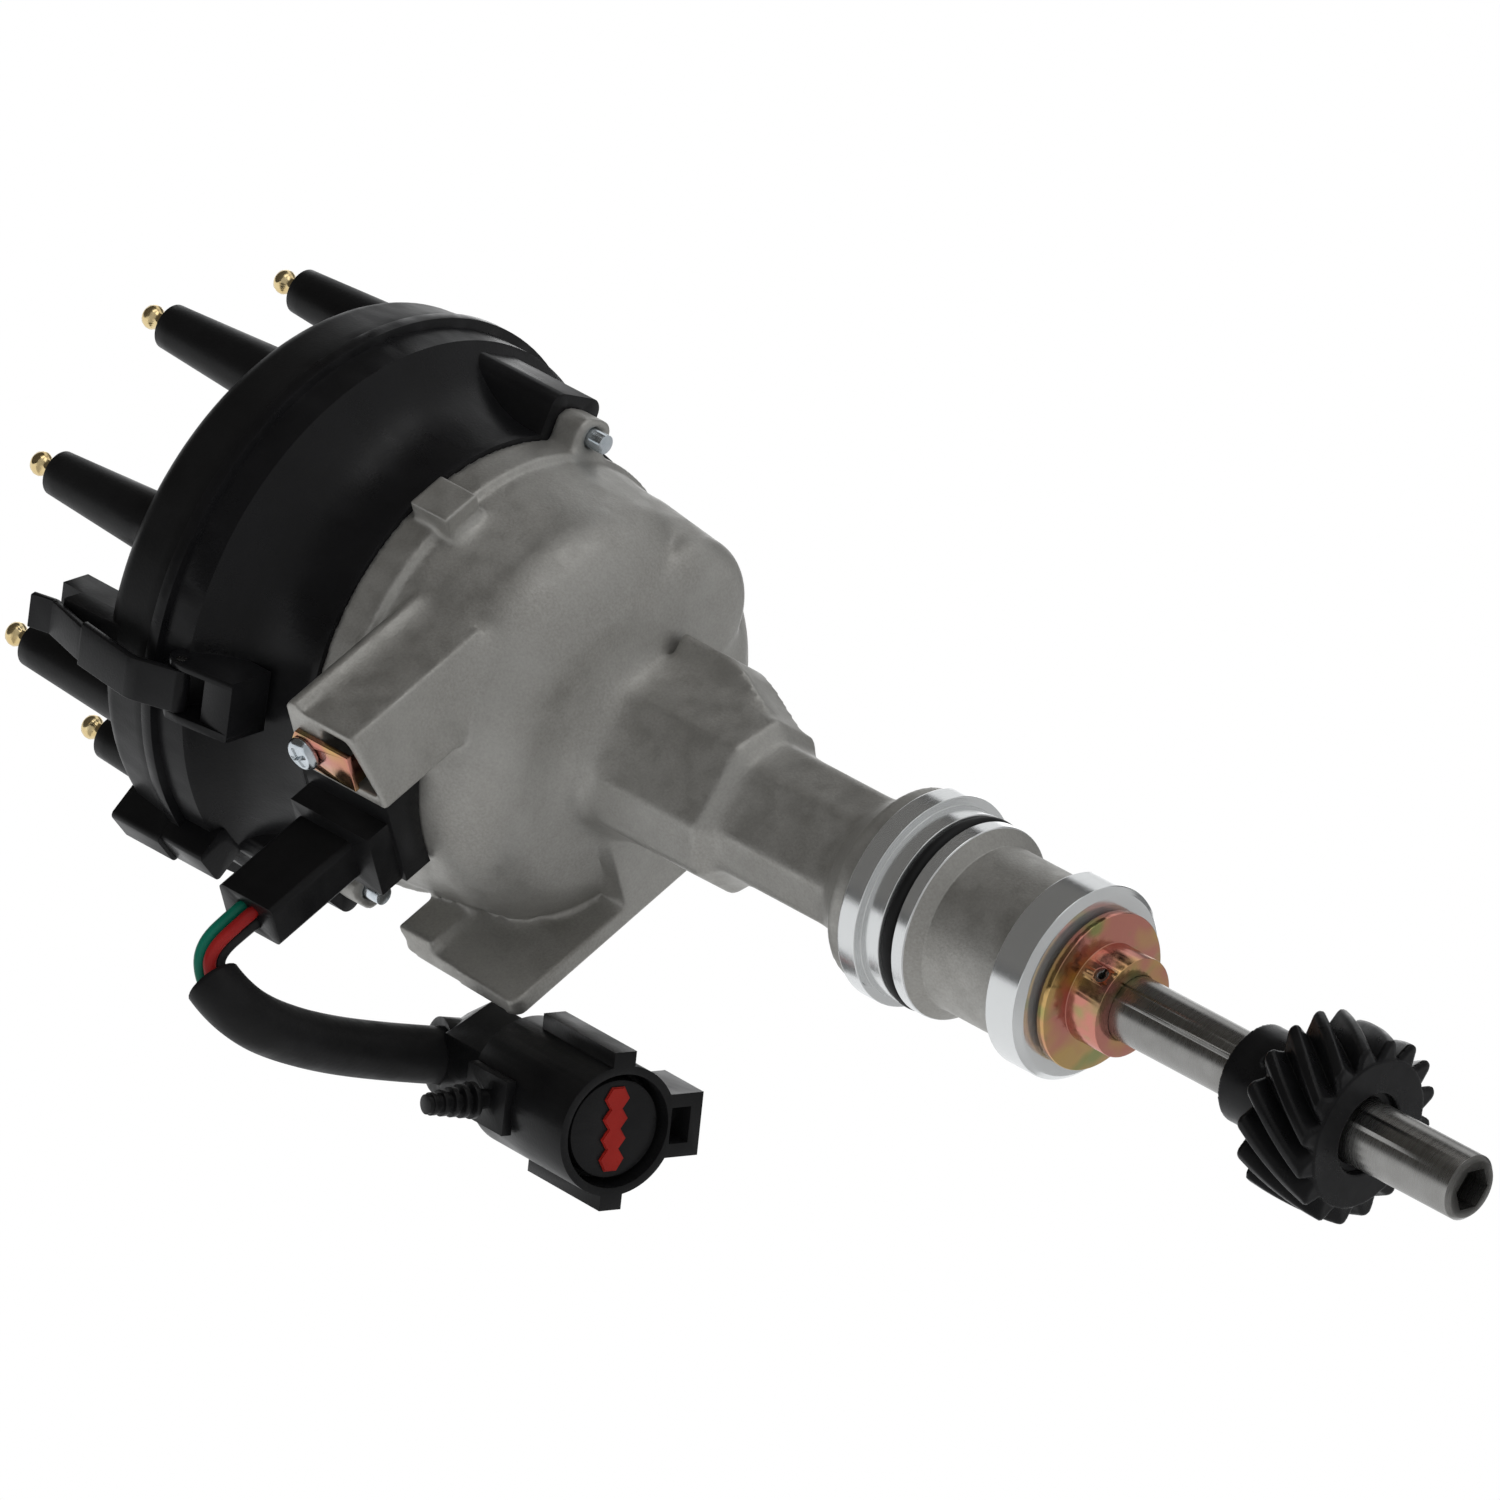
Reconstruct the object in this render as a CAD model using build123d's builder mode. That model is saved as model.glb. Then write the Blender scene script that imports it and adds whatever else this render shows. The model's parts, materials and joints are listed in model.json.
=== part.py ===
from build123d import *
import os
from math import cos, radians, sin, tan

# Ignition distributor for an eight-cylinder engine, modelled in millimetres.
# Z is the drive shaft's axis and points towards the cap. The origin lies on that axis, in the
# face of the housing that rests on the engine block. X points out of the octane-rod block's
# broad face, and the sensor connector leaves the bowl along -Y.

os.makedirs("parts", exist_ok=True)

# Fits
running_clearance = 0.04
loose_clearance = 0.3
washer_clearance = 0.05

# Drive shaft
shaft_radius = 6.745
shaft_below_seat = 141.2
shaft_chamfer = 0.9
pump_socket_flats = 7.94
pump_socket_depth = 17.0

# Drive gear
gear_teeth = 16
gear_tip_radius = 18.9
gear_root_radius = 15.0
gear_face_width = 16.0
gear_twist = 36.0
gear_bottom_height = -113.9
gear_disc_radius = 14.9
gear_disc_rise = 0.7
gear_hub_radius = 9.8
gear_hub_length = 13.2
gear_shaft_recess = 2.0
gear_pin_radius = 1.55
gear_pin_angle = -13.6
gear_pin_height = -93.1

# Thrust collar
collar_hub_radius = 10.3
collar_hub_length = 7.9
collar_flange_radius = 16.3
collar_flange_thickness = 2.0
collar_flange_height = -43.0
collar_pin_radius = 1.5
collar_pin_angle = -16.7
collar_pin_height = -49.6
thrust_washer_radius = 13.0
thrust_washer_thickness = 1.5
pin_bore_radius = 0.8
pin_hub_margin = 0.4

# Housing, below the block seat
pilot_radius = 20.2
seat_radius = 22.05
seat_ring_height = 5.2
collar_ring_radius = 20.6
collar_ring_height = 10.4
pilot_land_height = 4.7
groove_height = 3.3
groove_depth = 2.8
o_ring_section = 3.0
upper_ring_height = 2.9
barrel_radius = 17.3
barrel_flare = 2.7
pilot_length = 41.8
lower_ring_height = 8.7
ring_chamfer = 1.4
end_recess_radius = 13.6
end_recess_depth = 2.8
seat_chamfer = 0.8

# Bushes
bush_radius = 9.4
bush_flange_radius = 12.8
lower_bush_length = 22.0
upper_bush_length = 20.0
bush_flange_thickness = 2.4

# Housing, neck
neck_start_height = 15.0
small_neck_top = 44.6
big_neck_bottom = 48.0
neck_front = 12.4
neck_half_width = 13.9
neck_corner = 6.7
big_neck_front = 14.7
big_neck_half_width = 17.1
big_neck_corner = 8.5
neck_facet_angle = -33.0
neck_edge_round = 2.4
neck_boss_reach = 23.5
neck_boss_bottom = 53.5

# Housing, bowl
bowl_wall = 3.2
bowl_floor_thickness = 3.2
bowl_rim_height = 124.0
bowl_depth = 42.0
bowl_corner = 17.5
bowl_bore_corner = 12.0
bowl_neck_blend = 11.5
bowl_rim_width = 8.0
bowl_rim_step = 1.0
bowl_rim_radius = 46.6
bowl_lower_radius = 43.2
lobe_depth = 1.0
lobe_radius = 16.5
lobe_offset = 26.0
lobe_angle = 60.0
lobe_corner = 7.0
lobe_top_radius = 18.4
lobe_draft_depth = 20.0

# Octane-rod block on the bowl
block_face = 39.4
block_depth = 16.4
block_end = 55.6
block_bottom_depth = 35.0
block_slant = 5.4
block_top_depth = 11.0
block_wall = 2.2
block_window_drop = 9.0
block_window_start = 21.0
block_round = 1.0
block_screw_offset = 9.4
block_screw_depth = 15.4
block_bead_radius = 2.2
block_bead_length = 36.0
rim_boss_reach = 50.5
rim_boss_width = 9.0
rim_boss_middle = -3.3
rim_boss_depth = 12.0
rim_boss_height = 10.0

# Plate that carries the ignition module on other versions
plate_face = 32.0
plate_thickness = 4.2
plate_pad_rise = 2.4
plate_round = 2.4
plate_outer_edge = 44.6
plate_edge_slant = 1.8
plate_inner_edge = 6.0
plate_bottom_depth = 46.0
plate_top_depth = 12.6
plate_pad_depth = 22.0
plate_pad_inner_edge = 20.0
plate_web_outer_edge = 14.0
plate_web_height = 12.0

# Cap adaptor
adaptor_height = 33.5
adaptor_wall = 2.6
adaptor_lip = 2.6
adaptor_lip_reach = 2.0
adaptor_bell_height = 24.0
adaptor_waist_radius = 50.0
adaptor_waist_height = 14.0
screw_floor = 6.0
boss_rise = 9.0
boss_height = 7.4
boss_inset = -0.6
ear_angles = (45.5, 242.5)
ear_circle_margin = 3.2
ear_width = 9.5
ear_height = 7.0
ear_end = 3.7
column_inset = 2.0
column_width = 15.0
adaptor_screw_radius = 2.0
adaptor_screw_head_radius = 4.2
adaptor_screw_head_height = 3.2
adaptor_screw_tip = 3.2

# Distributor cap
cap_skirt_height = 14.0
cap_top_radius = 58.2
cap_skirt_flare = 1.2
cap_rim_inset = 0.6
cap_edge = 4.5
cap_wall = 3.4
cap_spigot_depth = 2.2
cap_spigot_width = 2.2
inner_boss = 7.0
brush_guide_rise = 1.5
brush_guide_drop = 9.5
rib_angle = -108.0
rib_width = 9.0
rib_rise = 2.9
rib_drop = 11.5
cap_flank_step = 0.8
cap_lug_rise = 10.0
cap_lug_inset = 11.0
cap_lug_wall = 6.8
cap_lug_wall_rise = 5.4
tower_count = 8
tower_inset = 9.7
tower_first_angle = 4.5
tower_base_radius = 6.6
tower_top_radius = 4.7
tower_length = 29.0
coil_tower_base_radius = 9.0
coil_tower_top_radius = 6.4
terminal_radius = 1.9
terminal_ball_radius = 2.55
terminal_exposed = 7.0
terminal_foot_height = 4.0
terminal_foot_radius = 3.2

# Cap clips
clip_angle = -65.0
clip_width = 9.0
clip_tab_width = 7.2
clip_thickness = 1.6
clip_pivot_offset = 1.0
clip_pivot_drop = 10.7
clip_pin_radius = 1.1
clip_eye_radius = 2.1
clip_bulge_offset = 5.7
clip_bulge_rise = 8.5
clip_waist_offset = 3.2
clip_kink_offset = -0.3
clip_kink_rise = 11.5
clip_tab_rise = 5.0
clip_tab_flare = 1.5
cheek_thickness = 1.6
cheek_reach = 1.6

# Shutter wheel, stator and rotor
shutter_radius = 26.6
shutter_wall = 1.1
shutter_vanes = 8
shutter_vane_share = 0.5
shutter_height = 26.0
shutter_skirt = 16.7
shutter_disc = 1.2
shutter_hub_radius = 10.6
shutter_hub_length = 18.2
stator_plate_margin = 7.0
stator_plate_thickness = 2.2
stator_plate_rise = 2.8
stator_foot_radius = 3.0
stator_foot_circle = 22.0
stator_plate_bore = 10.0
sensor_width = 18.0
sensor_inner = 18.0
sensor_slot_inner = 24.4
sensor_slot_outer = 28.2
sensor_outer = 34.0
sensor_gap = 1.6
sensor_base = 2.3
rod_width = 6.0
rod_thickness = 1.5
rod_rise = 4.8
rod_end_radius = 30.7
rod_end_angle = -37.1
rod_elbow_depth = 24.0
rod_pin_radius = 2.0
rod_tab_thickness = 1.2
rod_tab_width = 9.0
rod_screw_radius = 2.0
rod_screw_head_radius = 4.0
rod_screw_head_height = 2.6
rod_screw_length = 12.0
shaft_tip_radius = 5.2
shaft_shoulder_rise = 6.8
shaft_tip_length = 22.0
rotor_hub_radius = 9.5
rotor_disc_radius = 24.0
rotor_disc_thickness = 6.0
rotor_flare = 6.0
rotor_arm_width = 12.0
rotor_arm_depth = 5.0
rotor_blade_overhang = 2.4
rotor_blade_gap = 0.9
rotor_blade_width = 8.0
rotor_top_drop = 13.5
rotor_contact_thickness = 1.2
rotor_contact_radius = 5.6
rotor_screw_circle = 14.0
rotor_screw_radius = 1.8
rotor_screw_head_radius = 3.2
rotor_screw_head_height = 2.0
rotor_screw_depth = 5.0
brush_radius = 3.0
brush_length = 8.0
brush_guide_radius = 5.6
spring_radius = 2.2
spring_wire_radius = 0.35
spring_turns = 4

# Sensor connector
connector_bottom_depth = 27.0
connector_top_depth = 3.0
connector_low_side = -5.0
connector_high_side = 16.5
connector_base_end = 50.0
connector_flange_side = 10.0
connector_flange_thickness = 5.5
connector_end = 78.0
connector_nose_width = 9.6
connector_nose_height = 15.0
connector_nose_middle = 1.6
connector_nose_depth = 12.7
connector_neck_margin = 3.0

# Harness: X and Z are given from the middle of the connector's nose, Y from the shaft's axis
wire_radius = 1.3
wire_spacing = 1.45
wire_route = [
    (0.0, -71.6, 0.0),
    (0.3, -79.3, -0.1),
    (-2.3, -87.6, -0.2),
    (-9.8, -90.7, 0.0),
    (-16.9, -90.8, 0.8),
]
sleeve_radius = 5.75
sleeve_route = [
    (-5.8, -90.1, -0.9),
    (-19.3, -90.9, 1.3),
    (-34.4, -79.6, -0.9),
    (-45.5, -63.1, -9.1),
    (-55.1, -47.9, -18.2),
]

# Harness plug
plug_rear = (-54.1, -47.2, -19.4)
plug_axis = (0.2318, -0.1506, -0.9613)
plug_key_direction = (0.852, 0.510, 0.126)
plug_length = 50.0
plug_shell_radius = 13.3
plug_shell_bore = 11.6
plug_shell_length = 33.0
plug_mouth_depth = 9.0
plug_backshell_start = 2.0
plug_backshell_radius = 11.5
plug_boot_radius = 7.6
plug_boot_length = 7.0
plug_boot_overlap = 8.0
plug_insert_radius = 9.9
plug_insert_recess = 1.6
plug_core_length = 6.0
plug_core_lobe_radius = 2.4
plug_core_lobe_pitch = 4.1
plug_key_width = 5.0
plug_key_reach = 16.2
plug_key_length = 26.0
latch_reach = 19.2
latch_width = 13.0
latch_length = 14.0
latch_opening_width = 7.4
latch_opening_start = 12.2
latch_opening_end = 16.6
harness_clip_offset = 25.0
harness_clip_reach = 28.7
harness_clip_stem = 2.0
harness_clip_fin_radius = 3.7
harness_clip_fin_thickness = 1.1
harness_clip_fins = 5

# Heights and radii that follow from the sizes above
gear_top_height = gear_bottom_height + gear_face_width
lower_bush_bottom = -pilot_length + end_recess_depth
bowl_bottom = bowl_rim_height - bowl_depth
bowl_floor_height = bowl_bottom + bowl_floor_thickness
bowl_bore = bowl_lower_radius - bowl_wall
stator_plate_radius = bowl_bore - stator_plate_margin
lobe_bottom_height = bowl_bottom - lobe_depth
lobe_draft_height = bowl_rim_height - lobe_draft_depth
block_bottom = bowl_rim_height - block_bottom_depth
block_top = bowl_rim_height - block_top_depth
block_screw_height = bowl_rim_height - block_screw_depth
rim_boss_bottom = bowl_rim_height - rim_boss_depth
plate_bottom = bowl_rim_height - plate_bottom_depth
plate_top = bowl_rim_height - plate_top_depth
plate_pad_bottom = bowl_rim_height - plate_pad_depth
ear_circle = bowl_rim_radius + ear_circle_margin
ear_reach = ear_circle + ear_end
seam_height = bowl_rim_height + adaptor_height
cap_top_height = seam_height + cap_skirt_height
cap_skirt_radius = cap_top_radius + cap_skirt_flare
adaptor_rim_radius = cap_skirt_radius + cap_rim_inset
adaptor_bell_radius = adaptor_rim_radius - adaptor_lip_reach
boss_bottom = bowl_rim_height + boss_rise
boss_reach = adaptor_rim_radius - boss_inset
column_reach = adaptor_bell_radius - column_inset
spigot_radius = adaptor_bell_radius - adaptor_wall - loose_clearance
cap_lug_outer = cap_top_radius + cap_flank_step
cap_lug_inner = cap_top_radius - cap_lug_inset
cap_lug_top = cap_top_height + cap_lug_rise
brush_guide_top = cap_top_height + brush_guide_rise
brush_guide_bottom = cap_top_height - brush_guide_drop
tower_circle = cap_top_radius - tower_inset
tower_top_height = cap_top_height + tower_length
clip_pivot_radius = adaptor_rim_radius + clip_pivot_offset
clip_pivot_height = seam_height - clip_pivot_drop
clip_waist_height = cap_top_height
shutter_top = bowl_floor_height + shutter_height
shutter_bottom = shutter_top - shutter_skirt
shutter_hub_bottom = shutter_top - shutter_hub_length
sensor_top = shutter_top - shutter_disc - sensor_gap
rod_height = block_bottom + block_wall + rod_rise
shaft_shoulder_height = shutter_top + shaft_shoulder_rise
shaft_top_height = shaft_shoulder_height + shaft_tip_length
rotor_top_height = cap_top_height - rotor_top_drop
rotor_disc_bottom = rotor_top_height - rotor_disc_thickness
rotor_waist_height = rotor_disc_bottom - rotor_flare
rotor_blade_radius = tower_circle - terminal_foot_radius - rotor_blade_gap
rotor_arm_reach = rotor_blade_radius - rotor_blade_overhang
connector_bottom = bowl_rim_height - connector_bottom_depth
connector_top = bowl_rim_height - connector_top_depth
connector_nose_centre = (connector_nose_middle, bowl_rim_height - connector_nose_depth)


def polar(radius, angle, height=0.0):
    """The point at this radius, angle about Z and height."""
    return (radius * cos(radians(angle)), radius * sin(radians(angle)), height)


def radial_plane(angle):
    """The plane through Z whose local X points outwards at this angle and local Y upwards."""
    return Plane(origin=(0, 0, 0), x_dir=polar(1, angle), z_dir=polar(1, angle - 90))


def turned_plane(angle, height):
    """A level plane whose local X points outwards at this angle."""
    return Plane(origin=(0, 0, height), x_dir=polar(1, angle), z_dir=(0, 0, 1))


def neck_section(front, half_width, corner):
    """Eight-sided neck section: two broad facets, narrow slanted ones and flat flanks."""
    with BuildSketch() as section:
        with BuildLine():
            Polyline(
                (front, corner),
                (front * 0.45, half_width),
                (-front * 0.45, half_width),
                (-front, corner + 1),
                (-front, -corner),
                (-front * 0.5, -half_width),
                (front * 0.5, -half_width),
                (front, -corner - 1),
                close=True,
            )
        make_face()
        fillet(section.vertices(), neck_edge_round)
    return section.sketch


# Housing: one aluminium casting from the block pilot to the bowl's rim
groove_top = -pilot_land_height
groove_bottom = groove_top - groove_height
upper_ring_bottom = groove_bottom - upper_ring_height
lower_ring_top = -pilot_length + lower_ring_height

with BuildPart() as housing:
    with BuildSketch(Plane.XZ):
        with BuildLine():
            Polyline(
                (0, -pilot_length),
                (pilot_radius - ring_chamfer, -pilot_length),
                (pilot_radius, -pilot_length + ring_chamfer),
                (pilot_radius, lower_ring_top),
                (barrel_radius, lower_ring_top),
                (barrel_radius, upper_ring_bottom - barrel_flare),
                (pilot_radius, upper_ring_bottom),
                (pilot_radius, groove_bottom),
                (pilot_radius - groove_depth, groove_bottom),
                (pilot_radius - groove_depth, groove_top),
                (pilot_radius, groove_top),
                (pilot_radius, 0),
                (seat_radius, 0),
                (seat_radius, seat_ring_height - seat_chamfer),
                (seat_radius - seat_chamfer, seat_ring_height),
                (collar_ring_radius, seat_ring_height),
                (collar_ring_radius, collar_ring_height - 2),
                (collar_ring_radius - 2, collar_ring_height),
                (neck_front + 2.2, neck_start_height),
                (0, neck_start_height),
                close=True,
            )
        make_face()
    revolve(axis=Axis.Z)
    with BuildSketch(turned_plane(neck_facet_angle, collar_ring_height)):
        add(neck_section(neck_front, neck_half_width, neck_corner))
    extrude(amount=big_neck_bottom - collar_ring_height)
    with BuildSketch(turned_plane(neck_facet_angle, small_neck_top)):
        add(neck_section(neck_front, neck_half_width, neck_corner))
    with BuildSketch(turned_plane(neck_facet_angle, big_neck_bottom)):
        add(neck_section(big_neck_front, big_neck_half_width, big_neck_corner))
    loft()
    with BuildSketch(turned_plane(neck_facet_angle, big_neck_bottom)):
        add(neck_section(big_neck_front, big_neck_half_width, big_neck_corner))
    extrude(amount=bowl_floor_height - big_neck_bottom)
    # Boss on the neck's upper flank
    with BuildSketch(radial_plane(neck_facet_angle + 90)):
        with BuildLine():
            Polyline(
                (0, neck_boss_bottom - 3),
                (big_neck_half_width, neck_boss_bottom - 3),
                (neck_boss_reach - 1.2, neck_boss_bottom + 8),
                (neck_boss_reach, neck_boss_bottom + 12),
                (neck_boss_reach, bowl_bottom - 3),
                (0, bowl_bottom - 3),
                close=True,
            )
        make_face()
    extrude(amount=big_neck_front * 0.4, both=True)
    # Bowl with a rounded floor corner and a proud rim
    neck_blend_radius = big_neck_front - 1 + bowl_neck_blend
    with BuildSketch(Plane.XZ):
        with BuildLine():
            RadiusArc(
                (big_neck_front - 1, bowl_bottom - bowl_neck_blend),
                (neck_blend_radius, bowl_bottom),
                bowl_neck_blend,
            )
            Line((neck_blend_radius, bowl_bottom), (bowl_lower_radius - bowl_corner, bowl_bottom))
            RadiusArc(
                (bowl_lower_radius - bowl_corner, bowl_bottom),
                (bowl_lower_radius, bowl_bottom + bowl_corner),
                -bowl_corner,
            )
            Polyline(
                (bowl_lower_radius, bowl_bottom + bowl_corner),
                (bowl_rim_radius - bowl_rim_step, bowl_rim_height - bowl_rim_width),
                (bowl_rim_radius, bowl_rim_height - bowl_rim_width),
                (bowl_rim_radius, bowl_rim_height),
                (0, bowl_rim_height),
                (0, bowl_bottom - bowl_neck_blend),
                (big_neck_front - 1, bowl_bottom - bowl_neck_blend),
            )
        make_face()
    revolve(axis=Axis.Z)
    # Deeper round lobe on the +Y side of the bowl
    lobe_plane = Plane(
        origin=polar(lobe_offset, lobe_angle),
        x_dir=polar(1, lobe_angle),
        z_dir=polar(1, lobe_angle - 90),
    )
    with BuildSketch(lobe_plane):
        with BuildLine():
            Line((0, lobe_bottom_height), (lobe_radius - lobe_corner, lobe_bottom_height))
            RadiusArc(
                (lobe_radius - lobe_corner, lobe_bottom_height),
                (lobe_radius, lobe_bottom_height + lobe_corner),
                -lobe_corner,
            )
            Polyline(
                (lobe_radius, lobe_bottom_height + lobe_corner),
                (lobe_top_radius, lobe_draft_height),
                (lobe_top_radius, bowl_rim_height - ear_height),
                (0, bowl_rim_height - ear_height),
                (0, lobe_bottom_height),
            )
        make_face()
    revolve(axis=Axis((lobe_plane.origin.X, lobe_plane.origin.Y, 0), (0, 0, 1)))
    # Octane-rod block, tangent to the bowl
    with BuildSketch(Plane.XZ.offset(block_end)) as block_section:
        with BuildLine():
            Polyline(
                (block_face, block_bottom + block_slant),
                (block_face, block_top),
                (block_face - block_depth, block_top),
                (block_face - block_depth, block_bottom),
                close=True,
            )
        make_face()
        fillet(block_section.vertices(), block_round)
    extrude(amount=-block_bead_length)
    with BuildSketch(Plane.XZ.offset(block_end - block_bead_length)):
        with Locations((block_face - block_bead_radius * 0.4, block_top - block_bead_radius)):
            Circle(block_bead_radius)
    extrude(amount=block_bead_length)
    # Short boss on the rim
    with BuildSketch(Plane.YZ.offset(bowl_bore + 1)):
        with Locations((rim_boss_middle, rim_boss_bottom + rim_boss_height / 2)):
            Rectangle(rim_boss_width, rim_boss_height)
    extrude(amount=rim_boss_reach - bowl_bore - 1)
    # Ears for the adaptor's screws
    for angle in ear_angles:
        with BuildSketch(turned_plane(angle, bowl_rim_height - ear_height)):
            with Locations((ear_reach - 8, 0)):
                RectangleRounded(16, ear_width, 3)
        extrude(amount=ear_height)
    # Module plate and the web that joins it to the neck
    with BuildSketch(Plane.YZ.offset(-plate_face)) as plate_outline:
        with BuildLine():
            Polyline(
                (-plate_outer_edge - plate_edge_slant, plate_bottom),
                (plate_inner_edge, plate_bottom),
                (plate_inner_edge, plate_top),
                (-plate_outer_edge, plate_top),
                close=True,
            )
        make_face()
        fillet(plate_outline.vertices(), plate_round)
    extrude(amount=-plate_thickness)
    with BuildSketch(Plane.YZ.offset(-plate_face)):
        with Locations(
            (-(plate_outer_edge + plate_pad_inner_edge) / 2, (plate_pad_bottom + plate_top) / 2)
        ):
            Rectangle(plate_outer_edge - plate_pad_inner_edge, plate_top - plate_pad_bottom)
    extrude(amount=plate_pad_rise)
    with BuildSketch(Plane.XY.offset(plate_bottom)):
        with Locations((-plate_face / 2, (plate_inner_edge - plate_web_outer_edge) / 2)):
            Rectangle(plate_face, plate_inner_edge + plate_web_outer_edge)
    extrude(amount=plate_web_height)
    # Hollow of the bowl
    with BuildSketch(Plane.XZ):
        with BuildLine():
            Polyline(
                (bowl_bore, bowl_floor_height + bowl_bore_corner),
                (bowl_bore, bowl_rim_height),
                (0, bowl_rim_height),
                (0, bowl_floor_height),
                (bowl_bore - bowl_bore_corner, bowl_floor_height),
            )
            RadiusArc(
                (bowl_bore - bowl_bore_corner, bowl_floor_height),
                (bowl_bore, bowl_floor_height + bowl_bore_corner),
                -bowl_bore_corner,
            )
        make_face()
    revolve(axis=Axis.Z, mode=Mode.SUBTRACT)
    # Window of the octane-rod block and the hole of its screw
    window_low = block_bottom + block_wall
    window_high = block_top - block_window_drop
    with BuildSketch(Plane.XZ.offset(block_window_start)):
        with BuildLine():
            Polyline(
                (block_face - block_wall, window_low + block_slant),
                (block_face - block_wall, window_high),
                (block_face - block_depth + block_wall, window_high),
                (block_face - block_depth + block_wall, window_low),
                close=True,
            )
        make_face()
    extrude(amount=block_end, mode=Mode.SUBTRACT)
    with BuildSketch(Plane.XZ.offset(block_end)):
        with Locations((block_face - block_screw_offset, block_screw_height)):
            Circle(rod_screw_radius + loose_clearance)
    extrude(amount=-rod_screw_length, mode=Mode.SUBTRACT)
    # Seat and window of the sensor connector
    with BuildSketch(Plane.XY.offset(connector_bottom - loose_clearance)):
        with Locations((0, -connector_base_end)):
            Rectangle(
                2 * (connector_high_side + loose_clearance),
                2 * (connector_base_end - bowl_lower_radius * 0.85),
            )
        with Locations((connector_low_side - loose_clearance - connector_base_end, -connector_base_end)):
            Rectangle(2 * connector_base_end, 2 * connector_base_end, mode=Mode.SUBTRACT)
        Circle(bowl_lower_radius, mode=Mode.SUBTRACT)
    extrude(amount=connector_top - connector_bottom + 2 * loose_clearance, mode=Mode.SUBTRACT)
    neck_low_side = connector_low_side + connector_neck_margin
    neck_width = connector_high_side - connector_low_side - 2 * connector_neck_margin
    neck_height = connector_top - connector_bottom - 2 * connector_neck_margin
    connector_middle = (neck_low_side + neck_width / 2, (connector_bottom + connector_top) / 2)
    with BuildSketch(Plane.XZ.offset(sensor_outer)):
        with Locations(connector_middle):
            Rectangle(neck_width + 2 * loose_clearance, neck_height + 2 * loose_clearance)
    extrude(amount=connector_base_end - sensor_outer, mode=Mode.SUBTRACT)
    # Shaft's way, bush seats and the recess in the lower end
    with BuildSketch(Plane.XY.offset(-pilot_length)):
        Circle(shaft_radius + 0.7)
    extrude(amount=bowl_floor_height + pilot_length, mode=Mode.SUBTRACT)
    with BuildSketch(Plane.XY.offset(-pilot_length)):
        Circle(end_recess_radius)
    extrude(amount=end_recess_depth, mode=Mode.SUBTRACT)
    with BuildSketch(Plane.XY.offset(-pilot_length)):
        Circle(bush_radius)
    extrude(amount=end_recess_depth + lower_bush_length, mode=Mode.SUBTRACT)
    with BuildSketch(Plane.XY.offset(bowl_floor_height - upper_bush_length)):
        Circle(bush_radius)
    extrude(amount=upper_bush_length, mode=Mode.SUBTRACT)
    # Holes of the adaptor's screws in the ears
    with BuildSketch(Plane.XY.offset(bowl_rim_height)):
        for angle in ear_angles:
            with Locations(polar(ear_circle, angle)[:2]):
                Circle(adaptor_screw_radius + loose_clearance)
    extrude(amount=-ear_height - 1, mode=Mode.SUBTRACT)
housing.part.label = "housing"
export_step(housing.part, "parts/housing.step")

# O-ring in the groove above the pilot
ring_centre = (pilot_radius - groove_depth + o_ring_section / 2, groove_top - groove_height / 2)
with BuildPart() as o_ring:
    with BuildSketch(Plane.XZ):
        with Locations(ring_centre):
            Circle(o_ring_section / 2)
    revolve(axis=Axis.Z)
o_ring.part.label = "o_ring"
export_step(o_ring.part, "parts/o_ring.step")

# Lower shaft bush with its thrust flange
with BuildPart() as lower_bush:
    with BuildSketch(Plane.XY.offset(lower_bush_bottom)):
        Circle(bush_radius)
    extrude(amount=lower_bush_length)
    with BuildSketch(Plane.XY.offset(lower_bush_bottom)):
        Circle(bush_flange_radius)
    extrude(amount=-bush_flange_thickness)
    with BuildSketch(Plane.XY.offset(lower_bush_bottom - bush_flange_thickness)):
        Circle(shaft_radius + running_clearance)
    extrude(amount=lower_bush_length + bush_flange_thickness, mode=Mode.SUBTRACT)
lower_bush.part.label = "lower_bush"
export_step(lower_bush.part, "parts/lower_bush.step")

# Upper shaft bush, flush with the bowl's floor
with BuildPart() as upper_bush:
    with BuildSketch(Plane.XY.offset(bowl_floor_height - upper_bush_length)):
        Circle(bush_radius)
        Circle(shaft_radius + running_clearance, mode=Mode.SUBTRACT)
    extrude(amount=upper_bush_length)
upper_bush.part.label = "upper_bush"
export_step(upper_bush.part, "parts/upper_bush.step")

# Drive shaft with the oil-pump socket in its lower end
with BuildPart() as drive_shaft:
    with BuildSketch(Plane.XZ):
        with BuildLine():
            Polyline(
                (0, -shaft_below_seat),
                (shaft_radius - shaft_chamfer, -shaft_below_seat),
                (shaft_radius, -shaft_below_seat + shaft_chamfer),
                (shaft_radius, shaft_shoulder_height),
                (shaft_tip_radius, shaft_shoulder_height),
                (shaft_tip_radius, shaft_top_height),
                (0, shaft_top_height),
                close=True,
            )
        make_face()
    revolve(axis=Axis.Z)
    with BuildSketch(Plane.XY.offset(-shaft_below_seat)):
        RegularPolygon(pump_socket_flats / 2, 6, major_radius=False)
    extrude(amount=pump_socket_depth, mode=Mode.SUBTRACT)
    for angle, height in ((gear_pin_angle, gear_pin_height), (collar_pin_angle, collar_pin_height)):
        with BuildSketch(Plane(origin=(0, 0, height), z_dir=polar(1, angle))):
            Circle(gear_pin_radius)
        extrude(amount=shaft_radius + 1, both=True, mode=Mode.SUBTRACT)
drive_shaft.part.label = "drive_shaft"
export_step(drive_shaft.part, "parts/drive_shaft.step")

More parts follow.
